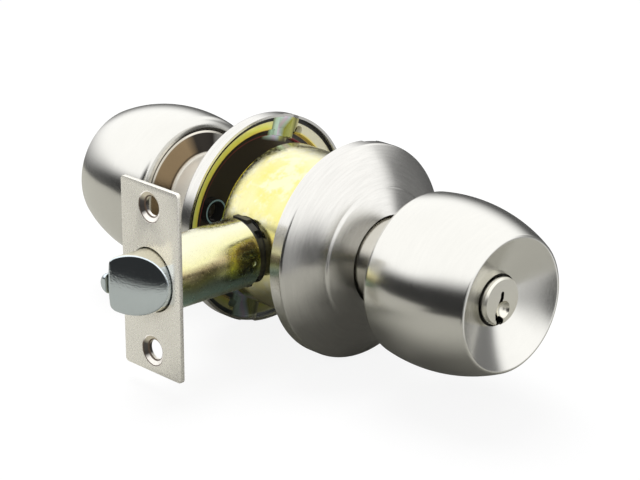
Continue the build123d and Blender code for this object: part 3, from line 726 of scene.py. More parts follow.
@dataclass
class Finishes:
    """Every finish on the lock, built once."""

    steel: Material = built(BrushedSteel("brushed_steel"))
    spun: Material = built(BrushedSteel(
        "spun_steel", (0.71, 0.70, 0.67), roughness=0.20, lines=11000.0, line_height=0.13, streak_share=0.06))
    neck: Material = built(NeckWithPaintedReflection("neck_painted_reflection"))
    drum: Material = built(YellowZinc(
        "drum_zinc", ((0.0, (0.78, 0.745, 0.46)), (0.5, (0.78, 0.71, 0.27)), (1.0, (0.78, 0.67, 0.14))),
        pale=(0.80, 0.785, 0.60), patch_share=0.75, patches=130.0, drift=60.0, roughness=0.17,
        speck_height=0.04, dust=0.08))
    liner: Material = built(LinerZinc("liner_zinc"))
    film: Material = built(YellowZinc(
        "plate_zinc", ((0.0, GOLD), (0.3, PALE_YELLOW), (0.5, GREEN), (0.7, TEAL), (1.0, ROSE_PINK)),
        patch_share=0.15, drift=55.0, roughness=0.2, speck_height=0.05))
    # The tube's tints run from bottom to top around it: film tints placed as painted reflection and shade.
    tube: Material = built(YellowZinc(
        "tube_zinc", ((0.0, (0.72, 0.74, 0.50)), (0.20, (0.70, 0.78, 0.56)), (0.32, (0.50, 0.74, 0.66)),
                      (0.42, (0.42, 0.52, 0.38)), (0.50, (0.50, 0.52, 0.20)), (0.60, (0.62, 0.50, 0.28)),
                      (0.68, (0.74, 0.71, 0.38)), (0.80, (0.77, 0.755, 0.56)), (1.0, (0.76, 0.75, 0.57))),
        pale=(0.76, 0.755, 0.58), patch_share=0.12, drift=45.0, roughness=0.2, dust=0.14, speck_height=0.08,
        around=0.88))
    nickel: Material = built(GrainedMetal(
        "satin_nickel", (0.87, 0.845, 0.77), roughness=0.28, spread=0.02, specks=4200.0,
        speck_height=0.015, speck_share=0.05, metallic=0.70))
    pressed: Material = built(PressedNickel("pressed_nickel"))
    plug: Material = built(GrainedMetal(
        "plug_nickel", (0.80, 0.78, 0.70), roughness=0.24, spread=0.03, specks=5000.0,
        speck_height=0.008, speck_share=0.02))
    chrome: Material = built(GrainedMetal(
        "bright_chrome", (0.70, 0.77, 0.805), roughness=0.04, spread=0.015, specks=2300.0,
        speck_height=0.46, speck_share=0.04))
    cast: Material = built(GrainedMetal(
        "cast_nickel", (0.78, 0.75, 0.62), roughness=0.40, spread=0.08, specks=2600.0, speck_height=0.35))
    plastic: Material = built(MouldedPlastic("black_plastic"))
    zinc: Material = built(GrainedMetal(
        "cast_zinc", (0.52, 0.52, 0.53), roughness=0.5, spread=0.1, specks=1800.0, speck_height=0.3))
    spring: Material = built(GrainedMetal(
        "spring_steel", (0.48, 0.48, 0.48), roughness=0.3, spread=0.06, specks=4000.0, speck_height=0.08))
    # Near-black finish that paints shade in the keyway and on the cylinder body.
    gap: Material = built(GrainedMetal(
        "painted_recess_shade", (0.035, 0.033, 0.03), roughness=0.4, spread=0.08, specks=3000.0, speck_height=0.1))
    brass: Material = built(GrainedMetal(
        "machined_brass", (0.80, 0.62, 0.28), roughness=0.27, spread=0.06, specks=4000.0, speck_height=0.08))


# Meshes

def line(start: Point, stop: Point, count: int = 2) -> list[Point]:
    """Returns points along a straight run, both ends included."""
    steps = [index / (count - 1) for index in range(count)]
    return [(start[0] + (stop[0] - start[0]) * t, start[1] + (stop[1] - start[1]) * t) for t in steps]


def arc(start: Point, middle: Point, stop: Point, count: int) -> list[Point]:
    """Follows the circle through three points, by less than half a turn.

    Args:
        start: first point.
        middle: a point on the way.
        stop: last point.
        count: how many points to return.

    Returns:
        Points along the arc, both ends included.
    """
    (ax, ay), (bx, by), (cx, cy) = start, middle, stop
    twice = 2 * (ax * (by - cy) + bx * (cy - ay) + cx * (ay - by))
    a, b, c = ax * ax + ay * ay, bx * bx + by * by, cx * cx + cy * cy
    ox = (a * (by - cy) + b * (cy - ay) + c * (ay - by)) / twice
    oy = (a * (cx - bx) + b * (ax - cx) + c * (bx - ax)) / twice
    radius = hypot(ax - ox, ay - oy)
    first, last = atan2(ay - oy, ax - ox), atan2(cy - oy, cx - ox)
    sweep = (last - first + pi) % (2 * pi) - pi
    turns = [first + sweep * index / (count - 1) for index in range(count)]
    return [(ox + radius * cos(t), oy + radius * sin(t)) for t in turns]


def trimmed(run: list[Point], length: float) -> list[Point]:
    """Cuts a length off the end of a run.

    Args:
        run: points of the run.
        length: how much to cut off.

    Returns:
        The shorter run.
    """
    kept = list(run)
    while len(kept) > 1:
        last, before = kept[-1], kept[-2]
        step = hypot(last[0] - before[0], last[1] - before[1])
        if step > length:
            share = (step - length) / step
            kept[-1] = (before[0] + (last[0] - before[0]) * share, before[1] + (last[1] - before[1]) * share)
            return kept
        length -= step
        kept.pop()
    return kept


def rounded(runs: list[list[Point]], radii: list[float], count: int = 10) -> list[Point]:
    """Joins runs into one path and rounds the corners between them.

    Args:
        runs: runs of points, each starting where the last one ends.
        radii: corner radius after each run but the last; 0 leaves the corner sharp.
        count: points along each rounded corner.

    Returns:
        The whole path.
    """
    path = list(runs[0])
    for before, run, radius in zip(runs, runs[1:], radii):
        if radius == 0:
            path += run[1:]
            continue
        corner = run[0]
        one = Vector((corner[0] - before[-2][0], corner[1] - before[-2][1])).normalized()
        two = Vector((run[1][0] - corner[0], run[1][1] - corner[1])).normalized()
        turn = acos(max(-1.0, min(1.0, one.dot(two))))
        cut = radius * tan(turn / 2)
        path = trimmed(path, cut)
        ahead = trimmed(run[::-1], cut)[::-1]
        start, stop, weight = path[-1], ahead[0], cos(turn / 2)
        for step in range(1, count):
            t = step / count
            parts = ((1 - t) ** 2, 2 * t * (1 - t) * weight, t * t)
            rows = zip(start, corner, stop)
            path.append(tuple(sum(p * value for p, value in zip(parts, row)) / sum(parts) for row in rows))
        path += ahead
    return path


def sheet_loop(path: list[Point], thickness: float) -> list[Point]:
    """Closes a path into the section of a sheet.

    Args:
        path: one face of the sheet.
        thickness: its thickness, which lies on the path's left.

    Returns:
        The closed section.
    """
    inner = []
    for index, point in enumerate(path):
        before, after = path[max(0, index - 1)], path[min(len(path) - 1, index + 1)]
        along = Vector((after[0] - before[0], after[1] - before[1])).normalized()
        inner.append((point[0] - along.y * thickness, point[1] + along.x * thickness))
    return path + inner[::-1]


def even_turns(count: int) -> list[float]:
    """Returns evenly spaced stations around a full turn."""
    return [2 * pi * index / count for index in range(count)]


def polished(mesh: bpy.types.Mesh, angle: float = SHARP) -> None:
    """Shades a mesh smooth and keeps its sharp edges.

    Args:
        mesh: the mesh to shade.
        angle: angle between faces, in degrees, from which an edge stays sharp.
    """
    work = bmesh.new()
    work.from_mesh(mesh)
    for face in work.faces:
        face.smooth = True
    for edge in work.edges:
        edge.smooth = len(edge.link_faces) == 2 and edge.calc_face_angle() < radians(angle)
    work.to_mesh(mesh)
    work.free()


def add_object(name: str, data: bpy.types.ID | None) -> Piece:
    """Makes an object at the origin and links it to the scene.

    Args:
        name: the object's name.
        data: its mesh, curve, lamp or camera.

    Returns:
        The object.
    """
    made = bpy.data.objects.new(name, data)
    bpy.context.scene.collection.objects.link(made)
    return made


def plain_mesh(piece: Piece) -> bpy.types.Mesh:
    """Returns the mesh that a piece has after its modifiers."""
    return bpy.data.meshes.new_from_object(piece.evaluated_get(bpy.context.evaluated_depsgraph_get()))


def baked(piece: Piece) -> Piece:
    """Turns a piece's modifiers into its plain mesh.

    Args:
        piece: the piece with its modifiers.

    Returns:
        The same piece, without them.
    """
    piece.data = plain_mesh(piece)
    piece.data.name = piece.name
    piece.modifiers.clear()
    return piece


def lathe(name: str, loop: list[Point], turns: list[float],
          shift: Callable[[float, float, float], float] | None = None) -> Piece:
    """Turns a closed section about the Y axis.

    Args:
        name: the piece's name.
        loop: section as (radius, along Y) points in millimetres.
        turns: angles of the stations around the axis, in radians.
        shift: optional rule (turn, radius, along) -> along that moves points, such as a notch.

    Returns:
        The piece, smooth and closed.
    """
    work = bmesh.new()
    rings = []
    for turn in turns:
        ring = []
        for radius, along in loop:
            place = along if shift is None else shift(turn, radius, along)
            ring.append(work.verts.new((radius * sin(turn) * MM, place * MM, radius * cos(turn) * MM)))
        rings.append(ring)
    for ring, other in zip(rings, rings[1:] + rings[:1]):
        for step in range(len(loop)):
            after = (step + 1) % len(loop)
            work.faces.new((ring[step], ring[after], other[after], other[step]))
    bmesh.ops.recalc_face_normals(work, faces=work.faces)
    mesh = bpy.data.meshes.new(name)
    work.to_mesh(mesh)
    work.free()
    polished(mesh)
    return add_object(name, mesh)


def smooth_copy(node: str, name: str, *materials: Material, angle: float = SHARP) -> Piece:
    """Copies a solid with its seams merged, smooth over its curves and sharp at its edges.

    Args:
        node: name of the solid.
        name: name of the copy.
        *materials: finishes of the copy.
        angle: angle from which an edge stays sharp, in degrees.

    Returns:
        The copy.
    """
    mesh = frame["nodes"][node].data.copy()
    mesh.materials.clear()
    work = bmesh.new()
    work.from_mesh(mesh)
    bmesh.ops.remove_doubles(work, verts=work.verts, dist=MERGE)
    work.to_mesh(mesh)
    work.free()
    polished(mesh, angle)
    piece = add_object(name, mesh)
    even = piece.modifiers.new("even_normals", "WEIGHTED_NORMAL")
    even.keep_sharp = True
    even.weight = 80
    baked(piece)
    for material in materials:
        piece.data.materials.append(material)
    return piece


def settle(piece: Piece, body: str, node: str) -> None:
    """Attaches a piece to the body that carries it and hides the solid that it stands for.

    Args:
        piece: the piece.
        body: body that it rides on.
        node: solid that it replaces.
    """
    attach(piece, body)
    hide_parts(node)
    log.info("%s rides on %s", piece.name, body)


# Repeats

def repeat_tree(name: str, material: Material) -> bpy.types.NodeTree:
    """Builds a Geometry Nodes tree that repeats a mesh up and down a line about its middle.

    Args:
        name: name of the tree.
        material: finish of the copies.

    Returns:
        The tree, with inputs Count and Spacing.
    """
    tree = bpy.data.node_groups.new(name, "GeometryNodeTree")
    sockets = (("Geometry", "INPUT", "Geometry"), ("Count", "INPUT", "Int"), ("Spacing", "INPUT", "Float"),
               ("Geometry", "OUTPUT", "Geometry"))
    for label, way, kind in sockets:
        tree.interface.new_socket(name=label, in_out=way, socket_type="NodeSocket" + kind)
    bench = Bench(tree)
    given = bench.node("NodeGroupInput").outputs
    count, spacing = given["Count"], given["Spacing"]
    low = bench.times(bench.times(bench.math("SUBTRACT", count, 1.0), spacing), -0.5)
    row = bench.node("GeometryNodeMeshLine", {
        "Count": count, "Start Location": bench.joined(0.0, 0.0, low),
        "Offset": bench.joined(0.0, 0.0, spacing)})
    copies = bench.node("GeometryNodeInstanceOnPoints", {
        "Points": row.outputs[0], "Instance": given["Geometry"]})
    real = bench.node("GeometryNodeRealizeInstances", {0: copies.outputs[0]})
    dressed = bench.node("GeometryNodeSetMaterial", {"Geometry": real.outputs[0], "Material": material})
    bench.node("NodeGroupOutput", {0: dressed.outputs[0]})
    return tree


def repeated(name: str, source: Piece, tree: bpy.types.NodeTree, **inputs: float) -> Piece:
    """Runs a repeating tree on a mesh.

    Args:
        name: name of the new piece.
        source: the mesh to repeat.
        tree: the Geometry Nodes tree.
        **inputs: values of the tree's named inputs.

    Returns:
        A plain mesh piece with the copies in it.
    """
    piece = add_object(name, source.data.copy())
    modifier = piece.modifiers.new(tree.name, "NODES")
    modifier.node_group = tree
    for socket in tree.interface.items_tree:
        if socket.in_out == "INPUT" and socket.name in inputs:
            modifier[socket.identifier] = inputs[socket.name]
    return baked(piece)


# Sub-assemblies

@dataclass
class Knob:
    """One knob: brushed shell with a dished front, and the neck that flares into its back cover."""

    side: Side
    finishes: Finishes
    front: float = 84.1
    length: float = 35.45
    radius: float = 25.25
    widest: float = 11.4
    taper: float = 5.55
    rim_round: float = 0.8
    sheet: float = 0.9
    roll: float = 4.75
    lip: float = 0.9
    lip_round: float = 0.72
    shoulder: float = 2.6
    dish_depth: float = 5.85
    dish_bow: float = 0.35
    neck_radius: float = 13.15
    neck_sheet: float = 1.0
    neck_round: float = 0.8
    back_cone: float = 3.0
    neck_start: float = 7.6
    seat: float = 0.05
    stations: int = 180
    side_steps: int = 72
    dish_steps: int = 40

    def shell_section(self) -> list[Point]:
        """Returns the closed section of the drawn shell."""
        rear = self.front - self.length
        span = self.length - self.widest
        bow = (span ** 2 + self.taper ** 2) / (2 * self.taper)
        back = self.radius - bow + sqrt(bow ** 2 - self.widest ** 2)
        mouth = self.radius - self.roll
        rim = (self.radius - self.taper, self.front)
        floor = (KNOB_HOLE[self.side], self.front - self.dish_depth)
        dish = ((rim[0] + floor[0]) / 2, (rim[1] + floor[1]) / 2 - self.dish_bow)
        runs = [
            line((mouth, rear + self.lip), (mouth, rear), 3),
            line((mouth, rear), (back, rear), 4),
            arc((back, rear), (self.radius, rear + self.widest), rim, self.side_steps),
            arc(rim, dish, floor, self.dish_steps),
        ]
        return sheet_loop(rounded(runs, [self.lip_round, self.shoulder, self.rim_round]), self.sheet)

    def neck_section(self) -> list[Point]:
        """Returns the closed section of the neck and back cover."""
        edge = self.front - self.length + self.lip
        bend = (self.neck_radius, edge - self.back_cone)
        outer = (self.radius - self.roll - self.seat, edge)
        start = (self.neck_radius, ROSE_FACE[self.side] + self.neck_start)
        path = rounded([line(outer, bend, 10), line(bend, start, 8)], [self.neck_round])
        return sheet_loop(path[::-1], self.neck_sheet)

    def build(self) -> None:
        """Makes and dresses the shell and the neck."""
        prefix = self.side.name.lower()
        for part, section, material, slot in (
            ("shell", self.shell_section(), self.finishes.steel, "satin_steel"),
            ("neck", self.neck_section(), self.finishes.neck, "polished_steel"),
        ):
            loop = [(radius, along * self.side.value) for radius, along in section]
            piece = lathe(f"{prefix}_{part}", loop, even_turns(self.stations))
            piece.data.materials.append(material)
            settle(piece, prefix + "_knob", f"{prefix}_knob_{part}")


@dataclass
class Rose:
    """Spun rose with a plain rim, a crease ring and two pry notches in its edge."""

    side: Side
    finishes: Finishes
    radius: float = 32.5
    sheet: float = 0.8
    rim: float = 4.3
    skirt: float = 11.4
    skirt_slope: float = 31.55
    step: float = 0.35
    collar_slope: float = 27.0
    crown: float = 0.5
    rim_round: float = 1.2
    hole: float = 13.85
    notch_width: float = 6.0
    notch_depth: float = 1.1
    notch_wall: float = 1e-4
    stations: int = 200
    crown_steps: int = 32

    def section(self) -> list[Point]:
        """Returns the closed section of the spun sheet."""
        base = ROSE_FACE[self.side]
        notch = (self.radius, base + self.notch_depth)
        rim = (self.radius, base + self.rim)
        crease = (self.radius - self.skirt, base + self.rim + self.skirt * tan(radians(self.skirt_slope)))
        shelf = (crease[0] - self.step, crease[1] + self.step)
        lip = (self.hole, shelf[1] + (shelf[0] - self.hole) * tan(radians(self.collar_slope)))
        slope = hypot(rim[0] - crease[0], rim[1] - crease[1])
        top = (
            (rim[0] + crease[0]) / 2 + self.crown * (crease[1] - rim[1]) / slope,
            (rim[1] + crease[1]) / 2 + self.crown * (rim[0] - crease[0]) / slope,
        )
        runs = [
            line((self.radius, base), notch),
            line(notch, rim, 5),
            arc(rim, top, crease, self.crown_steps),
            line(crease, shelf, 3),
            line(shelf, lip, 14),
        ]
        return sheet_loop(rounded(runs, [0.0, self.rim_round, 0.0, 0.0]), self.sheet)

    def turns(self) -> list[float]:
        """Returns the stations, with a pair at each wall of the notches."""
        half = self.notch_width / 2 / self.radius
        middle = radians(NOTCH_TURN[self.side])
        walls = [middle + spin + sign * (half + edge)
                 for spin in (0, pi) for sign in (-1, 1) for edge in (0, self.notch_wall)]
        return sorted(turn % (2 * pi) for turn in even_turns(self.stations) + walls)

    def notched(self, turn: float, radius: float, along: float) -> float:
        """Raises the points of the open edge inside a notch.

        Args:
            turn: angle of the station.
            radius: the point's radius.
            along: the point's place along Y.

        Returns:
            Its new place along Y.
        """
        half = self.notch_width / 2 / self.radius
        off = (turn - radians(NOTCH_TURN[self.side]) + pi / 2) % pi - pi / 2
        inside = abs(off) <= half + self.notch_wall / 2
        low = ROSE_FACE[self.side] + self.notch_depth
        return low * self.side.value if inside and along * self.side.value < low else along

    def build(self) -> None:
        """Makes and dresses the rose."""
        name = self.side.name.lower() + "_rose"
        loop = [(radius, along * self.side.value) for radius, along in self.section()]
        piece = lathe(name + "_cover", loop, self.turns(), self.notched)
        piece.data.materials.append(self.finishes.spun)
        settle(piece, "chassis", name)


@dataclass
class Chassis:
    """Yellow zinc drum, its end plates and the liners in the roses."""

    finishes: Finishes

    def build(self) -> None:
        """Makes smooth copies of the pressed pieces and dresses them."""
        pieces = {
            "drum_shell": self.finishes.drum,
            "outside_hub_plate": self.finishes.film,
            "inside_hub_plate": self.finishes.film,
            "outside_rose_liner": self.finishes.liner,
            "inside_rose_liner": self.finishes.liner,
        }
        for node, material in pieces.items():
            settle(smooth_copy(node, node + "_plated", material), "chassis", node)


@dataclass
class LatchPlate:
    """Nickel faceplate with rounded edges, a round bolt hole and two countersunk screw holes."""

    finishes: Finishes
    backset: float = BACKSET
    height: float = 57.0
    width: float = 25.0
    thickness: float = 1.4
    corner: float = 1.2
    corner_steps: int = 6
    edge: float = 0.15
    bolt_hole: float = 9.6
    spacing: float = SCREW_SPACING
    screw_hole: float = 3.0
    sink: float = 4.7
    sink_depth: float = 1.2
    sink_soft: float = 0.08
    dimple_wall: float = 0.8
    dimple: float = 2.2
    stations: int = 72
    sharp: float = 40.0

    def outline(self) -> list[list[Point]]:
        """Returns the plate's outline and its three holes as closed loops in (Y, Z)."""
        half_width, half_height = self.width / 2 - self.edge, self.height / 2 - self.edge
        corner = self.corner - self.edge
        loop = []
        for index, (side, end) in enumerate(((1, 1), (-1, 1), (-1, -1), (1, -1))):
            for step in range(self.corner_steps + 1):
                turn = pi / 2 * (index + step / self.corner_steps)
                loop.append((side * (half_width - corner) + corner * cos(turn),
                             end * (half_height - corner) + corner * sin(turn)))
        loops = [loop]
        turns = even_turns(self.stations)
        screw = self.spacing / 2
        for radius, middle in ((self.bolt_hole, 0.0), (self.sink, screw), (self.sink, -screw)):
            reach = radius + self.edge
            loops.append([(reach * cos(turn), middle + reach * sin(turn)) for turn in turns])
        return loops

    def blank(self) -> Piece:
        """Makes the flat plate with rounded edges from its outline."""
        curve = bpy.data.curves.new("plate_outline", "CURVE")
        curve.dimensions = "2D"
        curve.fill_mode = "BOTH"
        curve.extrude = (self.thickness / 2 - self.edge) * MM
        curve.bevel_depth = self.edge * MM
        curve.bevel_resolution = 3
        for loop in self.outline():
            spline = curve.splines.new("POLY")
            spline.points.add(len(loop) - 1)
            spline.use_cyclic_u = True
            for point, (across, up) in zip(spline.points, loop):
                point.co = (across * MM, up * MM, 0.0, 1.0)
        drawn = add_object("plate_outline", curve)
        mesh = plain_mesh(drawn)
        bpy.data.objects.remove(drawn)
        stand = Matrix(((0, 0, -1, 0), (-1, 0, 0, 0), (0, 1, 0, 0), (0, 0, 0, 1)))
        mesh.transform(Matrix.Translation(((-self.backset + self.thickness / 2) * MM, 0, 0)) @ stand)
        return add_object("plate_blank", mesh)

    def countersink(self) -> list[Point]:
        """Returns the section of one pressed countersink as (radius, depth)."""
        outer = self.sink + self.edge
        wall = self.screw_hole + self.dimple_wall
        back = self.thickness - self.edge
        soft = self.sink_soft
        cone = line((self.sink, soft), (self.screw_hole + soft, self.sink_depth - soft), 15)
        bore = line((self.screw_hole, self.sink_depth + soft), (self.screw_hole, self.dimple), 6)
        return [(outer, self.edge)] + cone + bore + [(wall, self.dimple), (wall, back), (outer, back)]

    def build(self) -> None:
        """Makes and dresses the plate."""
        ring = lathe("sink_ring", self.countersink(), even_turns(self.stations))
        ring.data.transform(Matrix.Translation((-self.backset * MM, 0, 0)) @ Matrix.Rotation(-pi / 2, 4, "Z"))
        tree = repeat_tree("screw_places", self.finishes.nickel)
        piece = repeated("latch_plate", ring, tree, Count=2, Spacing=self.spacing * MM)
        blank = self.blank()
        work = bmesh.new()
        work.from_mesh(piece.data)
        pressed = len(work.faces)
        work.from_mesh(blank.data)
        for index, face in enumerate(work.faces):
            face.material_index = int(index < pressed)
        bmesh.ops.remove_doubles(work, verts=work.verts, dist=MERGE)
        bmesh.ops.recalc_face_normals(work, faces=work.faces)
        piece.data.materials.clear()
        for material in (self.finishes.nickel, self.finishes.pressed):
            piece.data.materials.append(material)
        work.to_mesh(piece.data)
        work.free()
        polished(piece.data, self.sharp)
        for spare in (ring, blank):
            bpy.data.objects.remove(spare)
        settle(piece, "chassis", "latch_faceplate")


@dataclass
class Latch:
    """Latch tube with its end guide, and the bolt with the plunger beside it."""

    finishes: Finishes
    bevel: Triple = (-0.806, -0.593, 0.0)
    bevel_share: float = 0.45
    sharp: float = 40.0

    def build(self) -> None:
        """Makes smooth copies of the latch pieces and dresses them."""
        coats = self.finishes
        tube = smooth_copy("latch_tube", "latch_tube_plated", coats.tube)
        settle(tube, "chassis", "latch_tube")
        guide = smooth_copy("latch_end_guide", "end_guide_moulded", coats.plastic)
        settle(guide, "chassis", "latch_end_guide")
        bolt = smooth_copy("latch_bolt", "bolt_plated", coats.cast, coats.chrome, angle=self.sharp)
        for polygon in bolt.data.polygons:
            polygon.material_index = int(polygon.normal.dot(Vector(self.bevel)) > self.bevel_share)
        settle(bolt, "latch_bolt", "latch_bolt")
        plunger = smooth_copy("deadlatch_plunger", "plunger_plated", coats.chrome, angle=self.sharp)
        settle(plunger, "deadlatch_plunger", "deadlatch_plunger")


@dataclass
class KeyPlug:
    """Face of the key plug and the turn button on the other side."""

    finishes: Finishes
    slot_reach: float = 6.2
    wall_share: float = 0.2
    plug_sharp: float = 28.0
    button_sharp: float = 35.0

    def build(self) -> None:
        """Makes smooth copies of the plug and the button and dresses them."""
        coats = self.finishes
        plug = smooth_copy("cylinder_plug", "plug_machined", coats.plug, coats.gap, angle=self.plug_sharp)
        # The keyway walls take the painted recess shade.
        for polygon in plug.data.polygons:
            reach = hypot(polygon.center.x, polygon.center.z)
            wall = abs(polygon.normal.y) < self.wall_share and reach < self.slot_reach * MM
            polygon.material_index = int(wall)
        settle(plug, "key_plug", "cylinder_plug")
        button = smooth_copy("turn_button", "button_brushed", coats.steel, angle=self.button_sharp)
        settle(button, "turn_button", "turn_button")


@dataclass
class Inner:
    """Inner pieces: most keep their own solids and get a finish, and three springs that the joints list as
    deforming get smooth copies.
    """

    finishes: Finishes

    def build(self) -> None:
        """Assigns a finish to every inner solid and makes copies of the springs that the joints list."""
        groups = {
            "outside_knob_core inside_knob_core button_bush retractor": self.finishes.zinc,
            "pin_springs plug_clip tailpiece locking_bar latch_tail": self.finishes.spring,
            "cylinder_cap driver_pins key_pins": self.finishes.brass,
            # The cylinder body behind the plug is painted as shade.
            "cylinder_body": self.finishes.gap,
            "outside_spindle inside_spindle": self.finishes.drum,
        }
        for names, material in groups.items():
            for name in names.split():
                node = frame["nodes"][name]
                if not node.material_slots:
                    node.data.materials.append(material)
                for place in node.material_slots:
                    place.material = material
                log.info("%s dressed as %s", name, material.name)
        for joint in frame["record"]["behaviour"]["joints"]:
            for spring in joint.get("deforming_nodes", ()):
                self.coil(spring["node"])

    def coil(self, node: str) -> None:
        """Swaps a spring for a smooth copy with a mesh of its own.

        Args:
            node: name of the spring's solid.
        """
        piece = smooth_copy(node, f"{node}_coil", self.finishes.spring)
        settle(piece, "chassis", node)
        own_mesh(piece)


# Studio

@dataclass
class Studio:
    """Pale floor, soft light from above and the camera at the photograph's angle."""

    floor_height: float = -32.55
    floor_half: float = 3.0
    floor_tone: Colour = (0.86, 0.86, 0.86)
    floor_glow: float = 0.88
    floor_fade: Point = (0.18, 0.55)
    back: Triple = (-0.645, -0.685, 0.339)
    distance: float = 0.70715
    shift_right: float = 0.0044
    shift_up: float = -0.00266
    lens: float = 132.3
    sensor: float = 36.0
    table_edge: tuple[Point, ...] = (
        (120.0, -135.0), (120.0, 300.0), (-200.0, 300.0), (-200.0, 60.0), (-220.0, 60.0), (-220.0, -34.0),
        (-142.0, -34.0), (-142.0, -104.0), (-90.0, -104.0), (-90.0, -172.0), (-5.0, -172.0), (-5.0, -135.0))
    table_rise: float = 0.1
    table_tone: Colour = (0.35, 0.345, 0.315)
    # Painted shadow on the table: darkest around this point, lightening between the two reaches.
    table_dark: Point = (-10.0, -42.0)
    table_least: float = 0.62
    table_reach: Point = (14.0, 48.0)
    lamp_power: float = 9.0
    lamp_size: float = 0.7
    lamp_place: Triple = (0.18, 0.34, 0.68)
    fill_power: float = 1.5
    fill_size: float = 0.4
    fill_place: Triple = (-0.62, -0.12, 0.26)
    ambient: float = 0.5
    sky: float = 1.36
    shade: float = 0.035
    # The dark surround by direction around the lock, where 0 is -X, a quarter -Y, half +X and three
    # quarters +Y: sines of its top and of the height where full light starts, and how light it is
    surround: tuple[tuple[float, float, float, float], ...] = (
        (0.000, 0.24, 0.64, 0.00), (0.027, 0.27, 0.68, 0.00), (0.050, 0.38, 0.71, 0.00),
        (0.100, 0.40, 0.70, 0.00), (0.132, 0.34, 0.66, 0.00), (0.150, -0.10, 0.40, 0.34),
        (0.165, -0.10, 0.38, 0.32), (0.180, -0.06, 0.36, 0.20), (0.192, -0.05, 0.36, 0.06),
        (0.212, -0.05, 0.38, 0.04), (0.230, -0.06, 0.44, 0.03), (0.238, -0.30, 0.36, 0.42),
        (0.262, -0.28, 0.34, 0.46), (0.290, -0.36, 0.18, 0.62), (0.345, -0.36, 0.10, 0.70),
        (0.372, -0.20, 0.26, 0.45), (0.395, -0.10, 0.42, 0.25), (0.430, 0.26, 0.74, 0.14),
        (0.480, 0.18, 0.66, 0.13), (0.520, 0.12, 0.62, 0.08), (0.583, 0.10, 0.64, 0.05),
        (0.650, -0.05, 0.44, 0.05), (0.700, -0.20, 0.24, 0.06), (0.748, -0.20, 0.30, 0.06),
        (0.785, -0.12, 0.31, 0.06), (0.820, -0.02, 0.31, 0.05), (0.875, 0.08, 0.32, 0.01),
        (0.925, 0.14, 0.38, 0.00), (0.984, 0.22, 0.62, 0.00), (1.000, 0.24, 0.64, 0.00))

    def camera(self) -> None:
        """Places the camera."""
        back = Vector(self.back).normalized()
        right = Vector((0, 0, 1)).cross(back).normalized()
        up = back.cross(right)
        lens = bpy.data.cameras.new("camera")
        lens.lens = self.lens
        lens.sensor_width = self.sensor
        eye = add_object("camera", lens)
        place = back * self.distance + right * self.shift_right + up * self.shift_up
        eye.matrix_world = Matrix.Translation(place) @ Matrix((right, up, back)).transposed().to_4x4()
        bpy.context.scene.camera = eye

    def sheet(self, name: str, corners: list[Triple], material: Material) -> Piece:
        """Lays one flat sheet of the studio.

        Args:
            name: the sheet's name.
            corners: its corners in order, in metres.
            material: its finish.

        Returns:
            The sheet, which is no part of the lock.
        """
        mesh = bpy.data.meshes.new(name)
        mesh.from_pydata(corners, [], [tuple(range(len(corners)))])
        mesh.materials.append(material)
        laid = add_object(name, mesh)
        return laid

    def floor(self) -> None:
        """Lays the pale floor, which looks white and keeps a soft shadow."""
        material = bare_material("pale_floor")
        bench = Bench(material.node_tree)
        paper = bench.node("ShaderNodeBsdfDiffuse", {"Color": rgba(self.floor_tone)})
        glow = bench.node("ShaderNodeEmission", {"Color": WHITE, "Strength": 1.0})
        rays = bench.node("ShaderNodeLightPath").outputs
        seen = bench.math("MAXIMUM", bench.math("MAXIMUM", rays["Is Camera Ray"], rays["Is Glossy Ray"]),
                          rays["Is Transmission Ray"])
        off = bench.vector("LENGTH", bench.node("ShaderNodeTexCoord").outputs["Object"])
        share = bench.times(seen, bench.span(off, *self.floor_fade, self.floor_glow, 1.0, smooth=True))
        both = bench.node("ShaderNodeMixShader", {0: share, 1: paper.outputs[0], 2: glow.outputs[0]})
        bench.node("ShaderNodeOutputMaterial", {"Surface": both.outputs[0]})
        signs = ((-1, -1), (1, -1), (1, 1), (-1, 1))
        corners = [(x * self.floor_half, y * self.floor_half, self.floor_height * MM) for x, y in signs]
        self.sheet("floor", corners, material).visible_glossy = False

    def table(self) -> None:
        """Lays the table top that only the metal shows: it mirrors an edge, takes the lock's shadows and has
        a painted shadow near the lock.
        """
        height = (self.floor_height + self.table_rise) * MM
        material = bare_material("table_top")
        bench = Bench(material.node_tree)
        place = bench.node("ShaderNodeTexCoord").outputs["Object"]
        along, across = (value * MM for value in self.table_dark)
        near, far = (reach * MM for reach in self.table_reach)
        # Painted shadow: the table darkens toward a point under the lock.
        off = bench.vector("DISTANCE", place, (along, across, height))
        light = bench.span(off, near, far, self.table_least, 1.0, smooth=True)
        paper = bench.node("ShaderNodeBsdfDiffuse", {"Color": bench.resized(self.table_tone, light)})
        bench.node("ShaderNodeOutputMaterial", {"Surface": paper.outputs[0]})
        laid = self.sheet("table", [(x * MM, y * MM, height) for x, y in self.table_edge], material)
        laid.visible_camera = False
        laid.visible_diffuse = False
        laid.visible_transmission = False
        laid.visible_shadow = False

    def lamp(self, name: str, power: float, size: float, place: Triple) -> None:
        """Hangs one round soft lamp that points at the lock.

        Args:
            name: the lamp's name.
            power: its power in watts.
            size: its width in metres.
            place: where it hangs.
        """
        light = bpy.data.lights.new(name, "AREA")
        light.shape = "DISK"
        light.size = size
        light.energy = power
        hung = add_object(name, light)
        turn = Vector(place).to_track_quat("Z", "Y").to_matrix().to_4x4()
        hung.matrix_world = Matrix.Translation(place) @ turn
        hung.visible_glossy = False

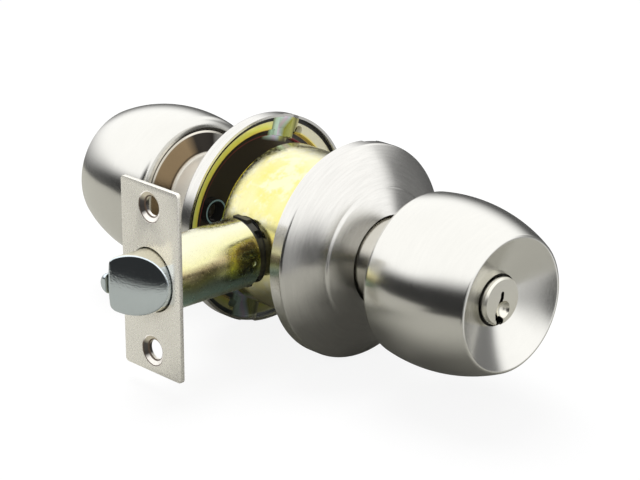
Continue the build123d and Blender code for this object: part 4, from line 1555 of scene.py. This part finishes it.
    def world(self) -> None:
        """Sets the white background, and the studio that the metal shows: bright above, dark to the left."""
        world = bpy.data.worlds.new("studio")
        bpy.context.scene.world = world
        world.use_nodes = True
        world.node_tree.nodes.clear()
        world.cycles.sampling_method = "NONE"
        bench = Bench(world.node_tree)
        axes = bench.axes(bench.node("ShaderNodeTexCoord").outputs["Generated"])
        stops = tuple(
            (place, (low / 2 + 0.5, high / 2 + 0.5, light)) for place, low, high, light in self.surround)
        told = bench.ramp(bench.around(axes[1], axes[0]), stops)
        told = bench.node("ShaderNodeSeparateColor", {0: told}).outputs
        low, high = (bench.math("MULTIPLY_ADD", told[index], 2.0, -1.0) for index in range(2))
        rise = bench.span(axes[2], low, high, smooth=True)
        level = bench.math("MULTIPLY_ADD", told[2], self.sky - self.shade, self.shade)
        upper = bench.math("MULTIPLY_ADD", rise, bench.math("SUBTRACT", self.sky, level), level)
        rays = bench.node("ShaderNodeLightPath").outputs
        seen = bench.math("MAXIMUM", rays["Is Camera Ray"], rays["Is Transmission Ray"])
        plain, white, shown = (
            bench.node("ShaderNodeBackground", {"Color": colour, "Strength": strength}).outputs[0]
            for colour, strength in ((WHITE, self.ambient), (WHITE, 1.0), (upper, 1.0)))
        first = bench.node("ShaderNodeMixShader", {0: seen, 1: plain, 2: white}).outputs[0]
        second = bench.node("ShaderNodeMixShader", {0: rays["Is Glossy Ray"], 1: first, 2: shown}).outputs[0]
        bench.node("ShaderNodeOutputWorld", {"Surface": second})

    def build(self) -> None:
        """Sets up the whole studio."""
        self.camera()
        self.floor()
        self.table()
        self.lamp("soft_lamp", self.lamp_power, self.lamp_size, self.lamp_place)
        self.lamp("fill_lamp", self.fill_power, self.fill_size, self.fill_place)
        self.world()
        bpy.context.scene.view_settings.view_transform = "Standard"


def main() -> None:
    """Builds the studio and every piece of the lock in order."""
    logging.basicConfig(level=logging.INFO, format="%(name)s: %(message)s")
    Studio().build()
    finishes = Finishes()
    for assembly in (Knob, Rose):
        for side in Side:
            assembly(side, finishes).build()
    for assembly in (Chassis, LatchPlate, Latch, KeyPlug, Inner):
        assembly(finishes).build()


if __name__ == "__main__":
    main()
